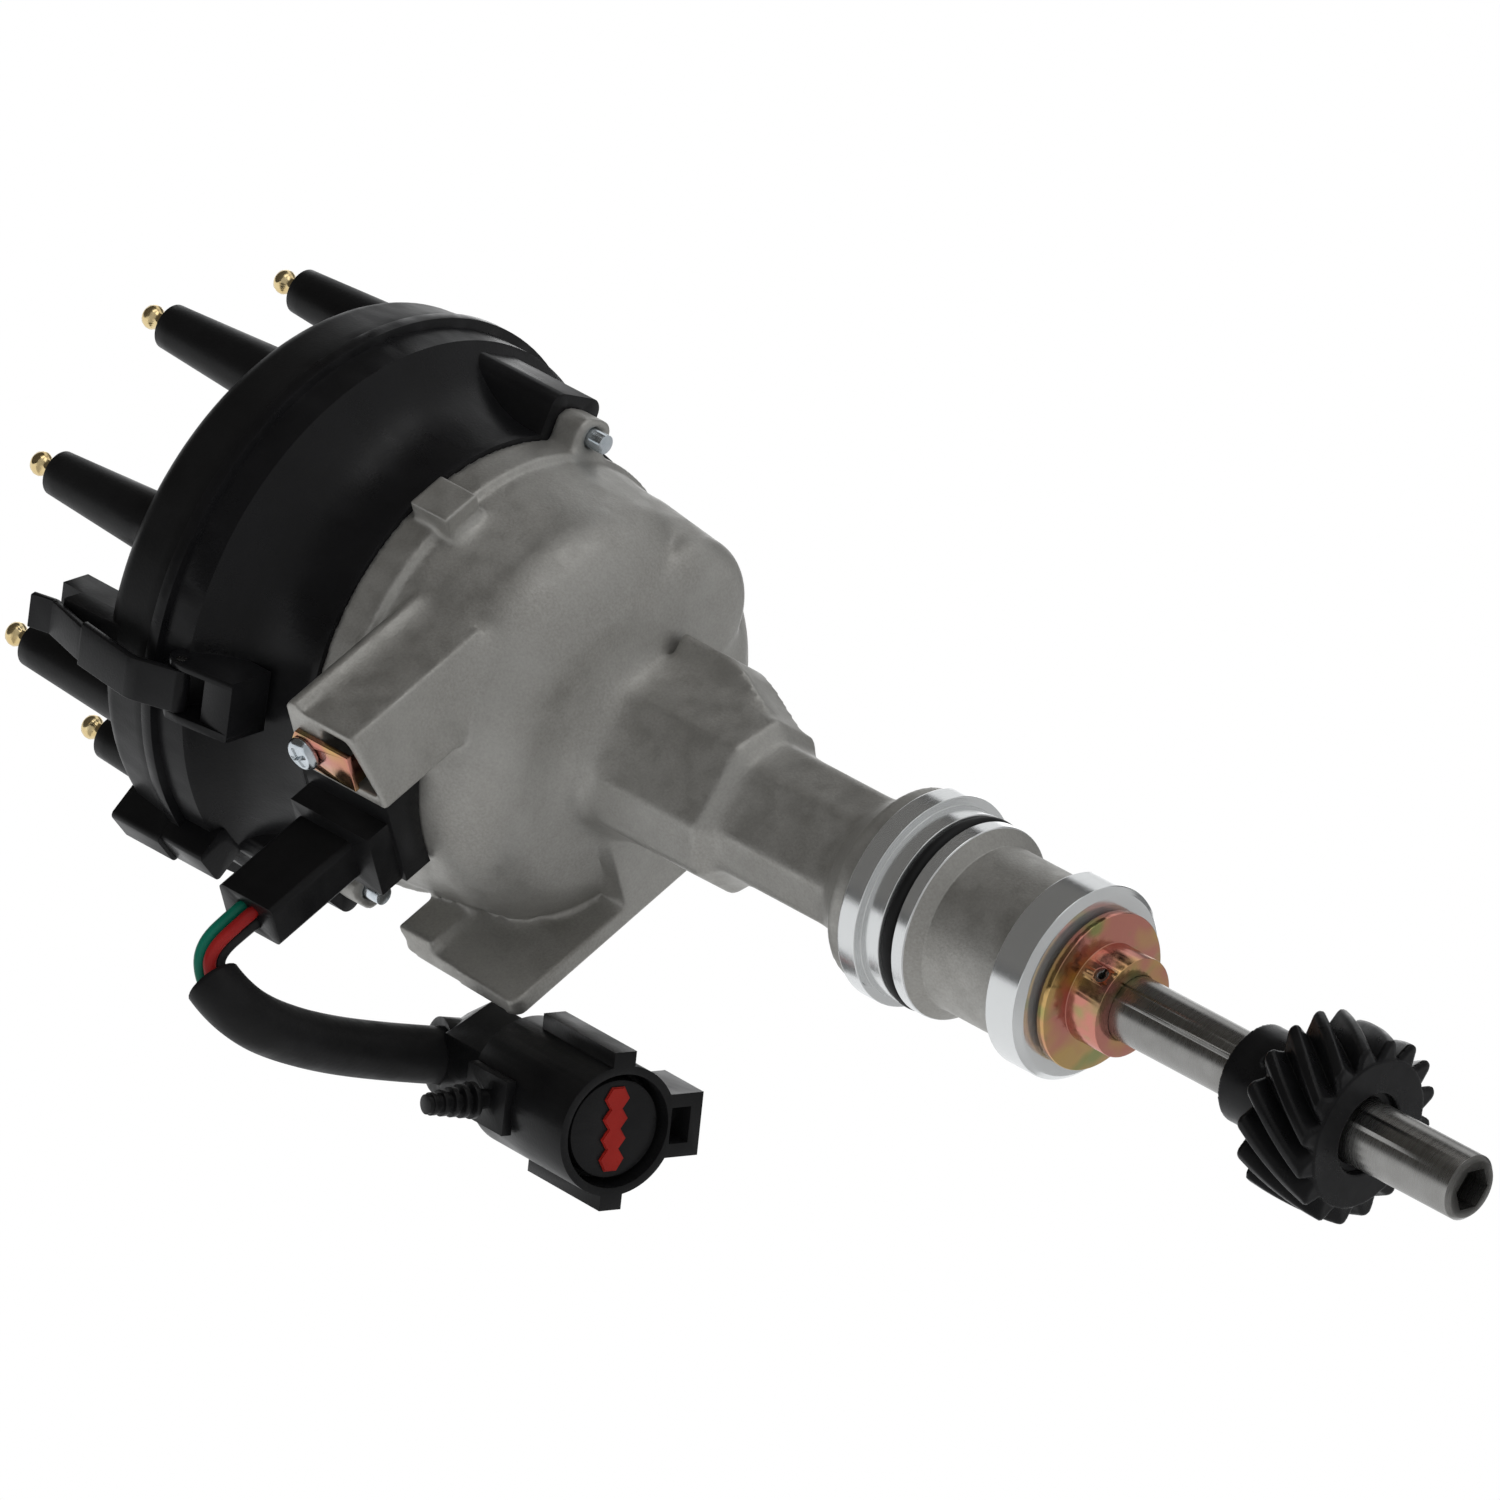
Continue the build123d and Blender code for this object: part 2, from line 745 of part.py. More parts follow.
# Thrust collar pinned to the shaft, below the housing
with BuildPart() as thrust_collar:
    with BuildSketch(Plane.XY.offset(collar_flange_height)):
        Circle(collar_flange_radius)
    extrude(amount=-collar_flange_thickness)
    with BuildSketch(Plane.XY.offset(collar_flange_height - collar_flange_thickness)):
        Circle(collar_hub_radius)
    extrude(amount=-collar_hub_length)
    with BuildSketch(Plane.XY.offset(collar_flange_height)):
        Circle(shaft_radius)
    extrude(amount=-collar_flange_thickness - collar_hub_length, mode=Mode.SUBTRACT)
    with BuildSketch(Plane(origin=(0, 0, collar_pin_height), z_dir=polar(1, collar_pin_angle))):
        Circle(gear_pin_radius)
    extrude(amount=collar_hub_radius + 1, both=True, mode=Mode.SUBTRACT)
thrust_collar.part.label = "thrust_collar"
export_step(thrust_collar.part, "parts/thrust_collar.step")

# Thrust washer between the collar and the lower bush
with BuildPart() as thrust_washer:
    with BuildSketch(Plane.XY.offset(collar_flange_height)):
        Circle(thrust_washer_radius)
        Circle(shaft_radius + loose_clearance, mode=Mode.SUBTRACT)
    extrude(amount=thrust_washer_thickness)
thrust_washer.part.label = "thrust_washer"
export_step(thrust_washer.part, "parts/thrust_washer.step")


# Roll pins: slit tubes driven through the hubs and the shaft
def roll_pin(hub_radius):
    """A slit tube pin lying along Z, centred on the origin, a little shorter than its hub."""
    length = 2 * (hub_radius - pin_hub_margin)
    with BuildPart() as pin:
        with BuildSketch():
            Circle(gear_pin_radius)
            Circle(pin_bore_radius, mode=Mode.SUBTRACT)
            with Locations((gear_pin_radius, 0)):
                Rectangle(2 * gear_pin_radius, 0.5, mode=Mode.SUBTRACT)
        extrude(amount=length / 2, both=True)
    return pin.part


collar_pin = Plane(origin=(0, 0, collar_pin_height), z_dir=polar(1, collar_pin_angle)) * roll_pin(
    collar_hub_radius
)
collar_pin.label = "collar_pin"
export_step(collar_pin, "parts/collar_pin.step")

gear_roll_pin = Plane(origin=(0, 0, gear_pin_height), z_dir=polar(1, gear_pin_angle)) * roll_pin(
    gear_hub_radius
)
gear_roll_pin.label = "gear_roll_pin"
export_step(gear_roll_pin, "parts/gear_roll_pin.step")

# Helical drive gear: the toothed section is swept upwards while it turns
tooth_points = []
for tooth in range(gear_teeth):
    pitch_angle = 360 / gear_teeth
    for radius, share in (
        (gear_root_radius, 0.0),
        (gear_root_radius, 0.16),
        (gear_tip_radius - 0.7, 0.43),
        (gear_tip_radius, 0.58),
        (gear_tip_radius - 0.7, 0.73),
    ):
        tooth_points.append(polar(radius, (tooth + share) * pitch_angle, gear_bottom_height))
tooth_section = Face(Wire.make_polygon(tooth_points))
toothed_ring = Solid.extrude_linear_with_rotation(
    tooth_section, (0, 0, gear_bottom_height), (0, 0, gear_face_width), gear_twist
)
with BuildPart() as drive_gear:
    add(toothed_ring)
    with BuildSketch(Plane.XY.offset(gear_bottom_height)):
        Circle(gear_disc_radius)
    extrude(amount=-gear_disc_rise)
    with BuildSketch(Plane.XY.offset(gear_top_height)):
        Circle(gear_hub_radius)
    extrude(amount=gear_hub_length)
    with BuildSketch(Plane.XY.offset(gear_bottom_height - gear_disc_rise)):
        Circle(shaft_radius)
    extrude(amount=gear_disc_rise + gear_face_width + gear_hub_length, mode=Mode.SUBTRACT)
    with BuildSketch(Plane.XY.offset(gear_bottom_height - gear_disc_rise)):
        Circle(gear_hub_radius - 1)
    extrude(amount=gear_shaft_recess, mode=Mode.SUBTRACT)
    with BuildSketch(Plane(origin=(0, 0, gear_pin_height), z_dir=polar(1, gear_pin_angle))):
        Circle(gear_pin_radius)
    extrude(amount=gear_hub_radius + 1, both=True, mode=Mode.SUBTRACT)
drive_gear.part.label = "drive_gear"
export_step(drive_gear.part, "parts/drive_gear.step")

# Stator plate on its feet above the bowl's floor
stator_bottom = bowl_floor_height + stator_plate_rise
stator_top = stator_bottom + stator_plate_thickness
with BuildPart() as stator_plate:
    with BuildSketch(Plane.XY.offset(stator_bottom)):
        Circle(stator_plate_radius)
        Circle(stator_plate_bore, mode=Mode.SUBTRACT)
    extrude(amount=stator_plate_thickness)
    with BuildSketch(Plane.XY.offset(bowl_floor_height)):
        with PolarLocations(stator_foot_circle, 3, start_angle=30):
            Circle(stator_foot_radius)
    extrude(amount=stator_plate_rise)
    with BuildSketch(Plane.XY.offset(stator_top)):
        with Locations(polar(rod_end_radius, rod_end_angle)):
            Circle(rod_pin_radius)
    extrude(amount=rod_height + rod_thickness + rod_tab_thickness - stator_top)
stator_plate.part.label = "stator_plate"
export_step(stator_plate.part, "parts/stator_plate.step")

# Sensor block: two legs on either side of the vanes' path
with BuildPart() as hall_sensor:
    with BuildSketch(Plane.XZ.offset(sensor_inner)):
        with Locations((0, (stator_top + sensor_top) / 2)):
            Rectangle(sensor_width, sensor_top - stator_top)
    extrude(amount=sensor_outer - sensor_inner)
    with BuildSketch(Plane.XY.offset(stator_top + sensor_base)):
        Circle(sensor_slot_outer)
        Circle(sensor_slot_inner, mode=Mode.SUBTRACT)
    extrude(amount=sensor_top, mode=Mode.SUBTRACT)
hall_sensor.part.label = "hall_sensor"
export_step(hall_sensor.part, "parts/hall_sensor.step")

# Shutter wheel: a cup whose skirt is cut into vanes
vane_angle = 360 / shutter_vanes
with BuildPart() as shutter_wheel:
    with BuildSketch(Plane.XY.offset(shutter_top)):
        Circle(shutter_radius)
    extrude(amount=-shutter_disc)
    with BuildSketch(Plane.XY.offset(shutter_hub_bottom)):
        Circle(shutter_hub_radius)
    extrude(amount=shutter_top - shutter_hub_bottom)
    with BuildSketch(Plane.XY.offset(shutter_bottom)):
        Circle(shutter_radius)
        Circle(shutter_radius - shutter_wall, mode=Mode.SUBTRACT)
        for vane in range(shutter_vanes):
            with BuildLine():
                Polyline(
                    (0, 0),
                    polar(2 * shutter_radius, vane * vane_angle)[:2],
                    polar(2 * shutter_radius, (vane + shutter_vane_share) * vane_angle)[:2],
                    close=True,
                )
            make_face(mode=Mode.SUBTRACT)
    extrude(amount=shutter_top - shutter_bottom)
    with BuildSketch(Plane.XY.offset(shutter_hub_bottom)):
        Circle(shaft_radius)
    extrude(amount=shutter_top - shutter_hub_bottom, mode=Mode.SUBTRACT)
shutter_wheel.part.label = "shutter_wheel"
export_step(shutter_wheel.part, "parts/shutter_wheel.step")

# Octane rod: a tab under its screw and an arm through the block's window to the stator
rod_x = block_face - block_screw_offset
rod_end = polar(rod_end_radius, rod_end_angle)[:2]
with BuildPart() as octane_rod:
    with BuildSketch(Plane.XZ.offset(block_end)):
        with BuildLine():
            Polyline(
                (rod_x - rod_tab_width / 2, rod_height),
                (rod_x + rod_tab_width / 2, rod_height),
                (rod_x + rod_tab_width / 2, block_screw_height + 2),
                (rod_x, block_screw_height + rod_screw_head_radius + 0.4),
                (rod_x - rod_tab_width / 2, block_screw_height + 2),
                close=True,
            )
        make_face()
        with Locations((rod_x, block_screw_height)):
            Circle(rod_screw_radius + loose_clearance, mode=Mode.SUBTRACT)
    extrude(amount=rod_tab_thickness)
    with BuildSketch(Plane.XY.offset(rod_height)):
        with BuildLine():
            Polyline(
                (rod_x - rod_width / 2, -block_end),
                (rod_x + rod_width / 2, -block_end),
                (rod_x + rod_width / 2, -rod_elbow_depth),
                (rod_end[0] + rod_width * 0.37, rod_end[1] - rod_width * 0.2),
                (rod_end[0] - rod_width * 0.1, rod_end[1] - rod_width * 0.73),
                (rod_x - rod_width / 2, -rod_elbow_depth - rod_width),
                close=True,
            )
        make_face()
        with Locations(rod_end):
            Circle(rod_width / 2)
            Circle(rod_pin_radius, mode=Mode.SUBTRACT)
    extrude(amount=rod_thickness)
octane_rod.part.label = "octane_rod"
export_step(octane_rod.part, "parts/octane_rod.step")

# Octane rod's screw
rod_screw_plane = Plane(origin=(rod_x, -block_end - rod_tab_thickness, block_screw_height), z_dir=(0, -1, 0))
with BuildPart() as octane_screw:
    with BuildSketch(rod_screw_plane):
        Circle(rod_screw_head_radius)
    extrude(amount=0.8)
    with BuildSketch(rod_screw_plane):
        RegularPolygon(rod_screw_head_radius - 0.9, 6, major_radius=False)
    extrude(amount=rod_screw_head_height)
    with BuildSketch(rod_screw_plane):
        Circle(rod_screw_radius)
    extrude(amount=-rod_screw_length + 1)
octane_screw.part.label = "octane_screw"
export_step(octane_screw.part, "parts/octane_screw.step")


# Wires between the connector and the sleeve
def harness_point(x, y, z):
    """A place of the harness in the shared frame."""
    return Vector(connector_nose_centre[0] + x, y, connector_nose_centre[1] + z)


def bend_radii(points):
    """Bend radii that leave a tenth of the shorter run straight on each side of a corner."""
    radii = []
    for first, corner, last in zip(points, points[1:], points[2:]):
        before = corner - first
        after = last - corner
        half_turn = radians(before.get_angle(after) / 2)
        radii.append(0.45 * min(before.length, after.length) / tan(half_turn))
    return radii


def wire(across, along):
    """One wire of the bundle, set off from the bundle's middle to its left and upwards."""
    middle = [harness_point(*place) for place in wire_route]
    points = []
    for before, point, after in zip([middle[0], *middle], middle, [*middle[1:], middle[-1]]):
        ahead = after - before
        left = Vector(-ahead.Y, ahead.X, 0).normalized()
        points.append(point + left * across + Vector(0, 0, along))
    with BuildPart() as strand:
        with BuildLine() as route:
            FilletPolyline(*points, radius=bend_radii(points))
        with BuildSketch(Plane(origin=points[0], z_dir=points[1] - points[0])):
            Circle(wire_radius)
        sweep(path=route.line)
    print("wire bend radii", [round(radius, 1) for radius in bend_radii(points)])
    return strand.part


wires = []
for name, across, along in (
    ("wire_green", wire_spacing, wire_spacing),
    ("wire_red", wire_spacing, -wire_spacing),
    ("wire_black_a", -wire_spacing, wire_spacing),
    ("wire_black_b", -wire_spacing, -wire_spacing),
):
    one_wire = wire(across, along)
    one_wire.label = name
    wires.append(one_wire)
    export_step(one_wire, f"parts/{name}.step")

# Sensor connector: neck through the bowl's window, base block, flange and nose
with BuildPart() as sensor_connector:
    with BuildSketch(Plane.XY.offset(connector_bottom)):
        with Locations(((connector_low_side + connector_high_side) / 2, -connector_base_end + 8)):
            Rectangle(connector_high_side - connector_low_side, 16)
        Circle(bowl_lower_radius + loose_clearance, mode=Mode.SUBTRACT)
    extrude(amount=connector_top - connector_bottom)
    with BuildSketch(Plane.XZ.offset(sensor_outer)):
        with Locations(connector_middle):
            Rectangle(neck_width, neck_height)
    extrude(amount=connector_base_end - sensor_outer - 1)
    with BuildSketch(Plane.XZ.offset(connector_base_end)):
        with Locations(
            ((connector_low_side + connector_flange_side) / 2, (connector_bottom + connector_top) / 2)
        ):
            Rectangle(
                connector_flange_side - connector_low_side, connector_top - connector_bottom - 2.6
            )
    extrude(amount=connector_flange_thickness)
    with BuildSketch(Plane.XZ.offset(connector_base_end)):
        with Locations(connector_nose_centre):
            RectangleRounded(connector_nose_width, connector_nose_height, 1.5)
    extrude(amount=connector_end - connector_base_end)
    add(wires, mode=Mode.SUBTRACT)
sensor_connector.part.label = "sensor_connector"
export_step(sensor_connector.part, "parts/sensor_connector.step")

# Sleeve over the wires
sleeve_points = [harness_point(*place) for place in sleeve_route]
sleeve_bends = bend_radii(sleeve_points)
with BuildPart() as harness_sleeve:
    with BuildLine() as sleeve_line:
        FilletPolyline(*sleeve_points, radius=sleeve_bends)
    with BuildSketch(Plane(origin=sleeve_points[0], z_dir=sleeve_points[1] - sleeve_points[0])):
        Circle(sleeve_radius)
    sweep(path=sleeve_line.line)
    add(wires, mode=Mode.SUBTRACT)
harness_sleeve.part.label = "harness_sleeve"
export_step(harness_sleeve.part, "parts/harness_sleeve.step")
print("sleeve bend radii", [round(radius, 1) for radius in sleeve_bends])


def plug_plane(height):
    """A plane across the plug at this distance from its rear; local X points to the key."""
    origin = harness_point(*plug_rear) + Vector(*plug_axis).normalized() * height
    return Plane(origin=origin, x_dir=plug_key_direction, z_dir=plug_axis)


# Plug shell with keys, latch loop, backshell and boot
shell_start = plug_length - plug_shell_length
boot_plane = Plane(origin=sleeve_points[-1], z_dir=sleeve_points[-1] - sleeve_points[-2])
with BuildPart() as plug_shell:
    with BuildSketch(plug_plane(shell_start)):
        Circle(plug_shell_radius)
    extrude(amount=plug_shell_length)
    with BuildSketch(plug_plane(plug_length - plug_key_length)):
        Rectangle(2 * plug_key_reach, plug_key_width)
    extrude(amount=plug_key_length)
    with BuildSketch(plug_plane(plug_length - latch_length)):
        with Locations((0, -latch_reach / 2)):
            Rectangle(latch_width, latch_reach)
    extrude(amount=latch_length)
    with BuildSketch(plug_plane(plug_backshell_start)):
        RegularPolygon(plug_backshell_radius, 6)
    extrude(amount=shell_start - plug_backshell_start + 1)
    with BuildSketch(plug_plane(plug_backshell_start)):
        RegularPolygon(plug_backshell_radius, 6)
    extrude(amount=-plug_backshell_start - 6, taper=28)
    with BuildSketch(boot_plane):
        Circle(plug_boot_radius)
    extrude(amount=plug_boot_length)
    with BuildSketch(boot_plane):
        Circle(plug_boot_radius)
        Circle(sleeve_radius, mode=Mode.SUBTRACT)
    extrude(amount=-plug_boot_overlap)
    with BuildSketch(plug_plane(plug_length - latch_length)):
        with Locations((0, -(latch_opening_start + latch_opening_end) / 2)):
            Rectangle(latch_opening_width, latch_opening_end - latch_opening_start)
    extrude(amount=latch_length, mode=Mode.SUBTRACT)
    with BuildSketch(plug_plane(plug_length)):
        Circle(plug_shell_bore)
    extrude(amount=-plug_mouth_depth, mode=Mode.SUBTRACT)
    add(harness_sleeve.part, mode=Mode.SUBTRACT)
plug_shell.part.label = "plug_shell"
export_step(plug_shell.part, "parts/plug_shell.step")

# Insert and its red core, and the seal around them
insert_length = plug_mouth_depth - plug_insert_recess
core_offsets = [plug_core_lobe_pitch * (lobe - 1.5) for lobe in range(4)]
with BuildPart() as plug_core:
    with BuildSketch(plug_plane(plug_length - plug_insert_recess - plug_core_length)):
        for offset in core_offsets:
            with Locations((offset, 0)):
                Circle(plug_core_lobe_radius)
        Rectangle(3 * plug_core_lobe_pitch, plug_core_lobe_radius)
    extrude(amount=plug_core_length)
plug_core.part.label = "plug_core"
export_step(plug_core.part, "parts/plug_core.step")

with BuildPart() as plug_insert:
    with BuildSketch(plug_plane(plug_length - plug_mouth_depth)):
        Circle(plug_insert_radius)
    extrude(amount=insert_length)
    add(plug_core.part, mode=Mode.SUBTRACT)
plug_insert.part.label = "plug_insert"
export_step(plug_insert.part, "parts/plug_insert.step")

with BuildPart() as plug_seal:
    with BuildSketch(plug_plane(plug_length - plug_mouth_depth)):
        Circle(plug_shell_bore)
        Circle(plug_insert_radius, mode=Mode.SUBTRACT)
    extrude(amount=2.4)
plug_seal.part.label = "plug_seal"
export_step(plug_seal.part, "parts/plug_seal.step")

# Fir-tree clip on the plug's side
clip_seat = plug_plane(harness_clip_offset)
clip_foot = plug_shell_radius - 0.6
clip_plane = Plane(
    origin=clip_seat.origin + clip_seat.y_dir * clip_foot, x_dir=clip_seat.x_dir, z_dir=clip_seat.y_dir
)
clip_length = harness_clip_reach - clip_foot
with BuildPart() as harness_clip:
    with BuildSketch(clip_plane):
        Rectangle(11, 14)
    extrude(amount=2.2)
    with BuildSketch(clip_plane):
        Circle(harness_clip_stem)
    extrude(amount=clip_length)
    for fin in range(harness_clip_fins):
        height = 5.0 + fin * (clip_length - 7.0) / (harness_clip_fins - 1)
        with BuildSketch(clip_plane.offset(height)):
            Circle(harness_clip_fin_radius - 0.35 * fin)
        extrude(amount=harness_clip_fin_thickness)
    with BuildSketch(plug_plane(shell_start - 1)):
        Circle(plug_shell_radius)
    extrude(amount=plug_shell_length + 2, mode=Mode.SUBTRACT)
harness_clip.part.label = "harness_clip"
export_step(harness_clip.part, "parts/harness_clip.step")

# Cap adaptor: a flared ring from the bowl's rim to the cap's seam
cheek_side = clip_width / 2 + loose_clearance
adaptor_foot_radius = bowl_rim_radius + 0.9
bell_top = bowl_rim_height + adaptor_bell_height
with BuildPart() as cap_adaptor:
    with BuildSketch(Plane.XZ):
        with BuildLine():
            Line((adaptor_foot_radius, bowl_rim_height), (adaptor_foot_radius, bowl_rim_height + 2))
            ThreePointArc(
                (adaptor_foot_radius, bowl_rim_height + 2),
                (adaptor_waist_radius, bowl_rim_height + adaptor_waist_height),
                (adaptor_bell_radius, bell_top),
            )
            Polyline(
                (adaptor_bell_radius, bell_top),
                (adaptor_bell_radius, seam_height - adaptor_lip),
                (adaptor_rim_radius, seam_height - adaptor_lip),
                (adaptor_rim_radius, seam_height),
                (adaptor_bell_radius - adaptor_wall, seam_height),
                (adaptor_bell_radius - adaptor_wall, bell_top + 1),
            )
            ThreePointArc(
                (adaptor_bell_radius - adaptor_wall, bell_top + 1),
                (adaptor_waist_radius - adaptor_wall, bowl_rim_height + adaptor_waist_height),
                (adaptor_foot_radius - adaptor_wall, bowl_rim_height + adaptor_wall),
            )
            Polyline(
                (adaptor_foot_radius - adaptor_wall, bowl_rim_height + adaptor_wall),
                (bowl_bore, bowl_rim_height + adaptor_wall),
                (bowl_bore, bowl_rim_height),
                (adaptor_foot_radius, bowl_rim_height),
            )
        make_face()
    revolve(axis=Axis.Z)
    # Columns over the ears, then a boss with two hinge cheeks for each clip
    for angle in ear_angles:
        with BuildSketch(turned_plane(angle, bowl_rim_height)):
            with Locations((column_reach - 6.5, 0)):
                RectangleRounded(13, column_width, 3)
        extrude(amount=seam_height - adaptor_lip - bowl_rim_height)
    for angle in (clip_angle, clip_angle + 180):
        side = radial_plane(angle)
        with BuildSketch(side):
            with BuildLine():
                Polyline(
                    (adaptor_waist_radius, boss_bottom),
                    (boss_reach, boss_bottom),
                    (boss_reach, boss_bottom + boss_height),
                    (adaptor_waist_radius, boss_bottom + boss_height),
                    close=True,
                )
            make_face()
        extrude(amount=cheek_side + cheek_thickness, both=True)
        for cheek_start in (cheek_side, -cheek_side - cheek_thickness):
            with BuildSketch(side.offset(cheek_start)):
                with BuildLine():
                    Polyline(
                        (adaptor_waist_radius, boss_bottom),
                        (boss_reach, boss_bottom),
                        (clip_pivot_radius + cheek_reach, clip_pivot_height - 2 * clip_pin_radius),
                        (clip_pivot_radius + cheek_reach, clip_pivot_height + clip_pin_radius),
                        (clip_pivot_radius, clip_pivot_height + 3 * clip_pin_radius),
                        (adaptor_waist_radius, clip_pivot_height + 3 * clip_pin_radius),
                        close=True,
                    )
                make_face()
            extrude(amount=cheek_thickness)
        with BuildSketch(side):
            with Locations((clip_pivot_radius, clip_pivot_height)):
                Circle(clip_pin_radius)
        extrude(amount=clip_width, both=True, mode=Mode.SUBTRACT)
    # Hollow of the bell, cleared of the bosses' roots
    with BuildSketch(Plane.XZ):
        with BuildLine():
            Polyline(
                (adaptor_bell_radius - adaptor_wall, seam_height),
                (adaptor_bell_radius - adaptor_wall, bell_top + 1),
            )
            ThreePointArc(
                (adaptor_bell_radius - adaptor_wall, bell_top + 1),
                (adaptor_waist_radius - adaptor_wall, bowl_rim_height + adaptor_waist_height),
                (adaptor_foot_radius - adaptor_wall, bowl_rim_height + adaptor_wall),
            )
            Polyline(
                (adaptor_foot_radius - adaptor_wall, bowl_rim_height + adaptor_wall),
                (0, bowl_rim_height + adaptor_wall),
                (0, seam_height),
                (adaptor_bell_radius - adaptor_wall, seam_height),
            )
        make_face()
    revolve(axis=Axis.Z, mode=Mode.SUBTRACT)
    # Rib below the cap's
    with BuildSketch(turned_plane(rib_angle, seam_height)):
        with Locations((cap_top_radius + rib_rise / 2, 0)):
            RectangleRounded(2 * adaptor_wall + rib_rise, rib_width, 1.2)
    extrude(amount=-rib_drop)
    # Wells and holes of the adaptor's screws
    for angle in ear_angles:
        with BuildSketch(turned_plane(angle, bowl_rim_height + screw_floor)):
            with Locations((ear_circle, 0)):
                Circle(adaptor_screw_head_radius + 0.8)
        extrude(amount=adaptor_height, mode=Mode.SUBTRACT)
        with BuildSketch(turned_plane(angle, bowl_rim_height)):
            with Locations((ear_circle, 0)):
                Circle(adaptor_screw_radius + loose_clearance)
        extrude(amount=screw_floor, mode=Mode.SUBTRACT)
cap_adaptor.part.label = "cap_adaptor"
export_step(cap_adaptor.part, "parts/cap_adaptor.step")

# Screws from the adaptor's wells through the ears
screw_length = screw_floor + ear_height + adaptor_screw_tip
with BuildPart() as adaptor_screws:
    for angle in ear_angles:
        with BuildSketch(turned_plane(angle, bowl_rim_height + screw_floor)):
            with Locations((ear_circle, 0)):
                Circle(adaptor_screw_head_radius)
        extrude(amount=adaptor_screw_head_height)
        with BuildSketch(turned_plane(angle, bowl_rim_height + screw_floor)):
            with Locations((ear_circle, 0)):
                Circle(adaptor_screw_radius)
        extrude(amount=-screw_length)
adaptor_screws.part.label = "adaptor_screws"
export_step(adaptor_screws.part, "parts/adaptor_screws.step")

# Distributor cap with its towers
tower_step = 360 / tower_count
inner_top = cap_top_height - cap_wall
with BuildPart() as distributor_cap:
    with BuildSketch(Plane.XZ):
        with BuildLine():
            Line((cap_skirt_radius, seam_height), (cap_top_radius, cap_top_height - cap_edge))
            RadiusArc(
                (cap_top_radius, cap_top_height - cap_edge),
                (cap_top_radius - cap_edge, cap_top_height),
                -cap_edge,
            )
            Polyline(
                (cap_top_radius - cap_edge, cap_top_height),
                (0, cap_top_height),
                (0, inner_top),
                (cap_top_radius - cap_edge - 1, inner_top),
                (cap_top_radius - cap_wall, inner_top - 3),
                (spigot_radius - cap_spigot_width, seam_height),
                (spigot_radius - cap_spigot_width, seam_height - cap_spigot_depth),
                (spigot_radius, seam_height - cap_spigot_depth),
                (spigot_radius, seam_height),
                (cap_skirt_radius, seam_height),
            )
        make_face()
    revolve(axis=Axis.Z)
    for tower in range(tower_count):
        place = polar(tower_circle, tower_first_angle + tower * tower_step)[:2]
        with BuildSketch(Plane.XY.offset(inner_top)):
            with Locations(place):
                Circle(tower_base_radius)
        with BuildSketch(Plane.XY.offset(tower_top_height)):
            with Locations(place):
                Circle(tower_top_radius)
        loft()
        with BuildSketch(Plane.XY.offset(inner_top)):
            with Locations(place):
                Circle(tower_top_radius)
        extrude(amount=-inner_boss)
    with BuildSketch(Plane.XY.offset(inner_top)):
        Circle(coil_tower_base_radius)
    with BuildSketch(Plane.XY.offset(tower_top_height)):
        Circle(coil_tower_top_radius)
    loft()
    with BuildSketch(Plane.XY.offset(inner_top)):
        Circle(brush_guide_radius)
    extrude(amount=brush_guide_bottom - inner_top)
    # Rib that meets the one on the adaptor
    with BuildSketch(turned_plane(rib_angle, seam_height)):
        with Locations((cap_top_radius + rib_rise / 2, 0)):
            RectangleRounded(2 * cap_wall + rib_rise, rib_width, 1.2)
    extrude(amount=cap_skirt_height - 1)
    # Lugs that the clips hook over
    for angle in (clip_angle, clip_angle + 180):
        with BuildSketch(radial_plane(angle)):
            with BuildLine():
                Polyline(
                    (cap_top_radius - cap_wall, cap_top_height - cap_edge),
                    (cap_top_radius, cap_top_height - cap_edge),
                    (cap_lug_outer, cap_top_height),
                    (cap_lug_outer, cap_lug_top),
                    (cap_lug_inner + cap_lug_wall, cap_lug_top),
                    (cap_lug_inner + cap_lug_wall, cap_lug_top + cap_lug_wall_rise),
                    (cap_lug_inner, cap_lug_top + cap_lug_wall_rise),
                    (cap_lug_inner, cap_top_height - cap_wall),
                    (cap_top_radius - cap_wall - cap_edge, cap_top_height - cap_wall),
                    close=True,
                )
            make_face()
        extrude(amount=clip_width / 2, both=True)
    # Holes of the terminals and the brush's guide
    with BuildSketch(Plane.XY.offset(inner_top - inner_boss)):
        for tower in range(tower_count):
            with Locations(polar(tower_circle, tower_first_angle + tower * tower_step)[:2]):
                Circle(terminal_radius)
    extrude(amount=tower_top_height - inner_top + inner_boss, mode=Mode.SUBTRACT)
    with BuildSketch(Plane.XY.offset(brush_guide_bottom)):
        Circle(brush_radius + running_clearance)
    extrude(amount=brush_guide_top - brush_guide_bottom, mode=Mode.SUBTRACT)
    with BuildSketch(Plane.XY.offset(brush_guide_top)):
        Circle(terminal_radius)
    extrude(amount=tower_top_height - brush_guide_top, mode=Mode.SUBTRACT)
distributor_cap.part.label = "distributor_cap"
export_step(distributor_cap.part, "parts/distributor_cap.step")


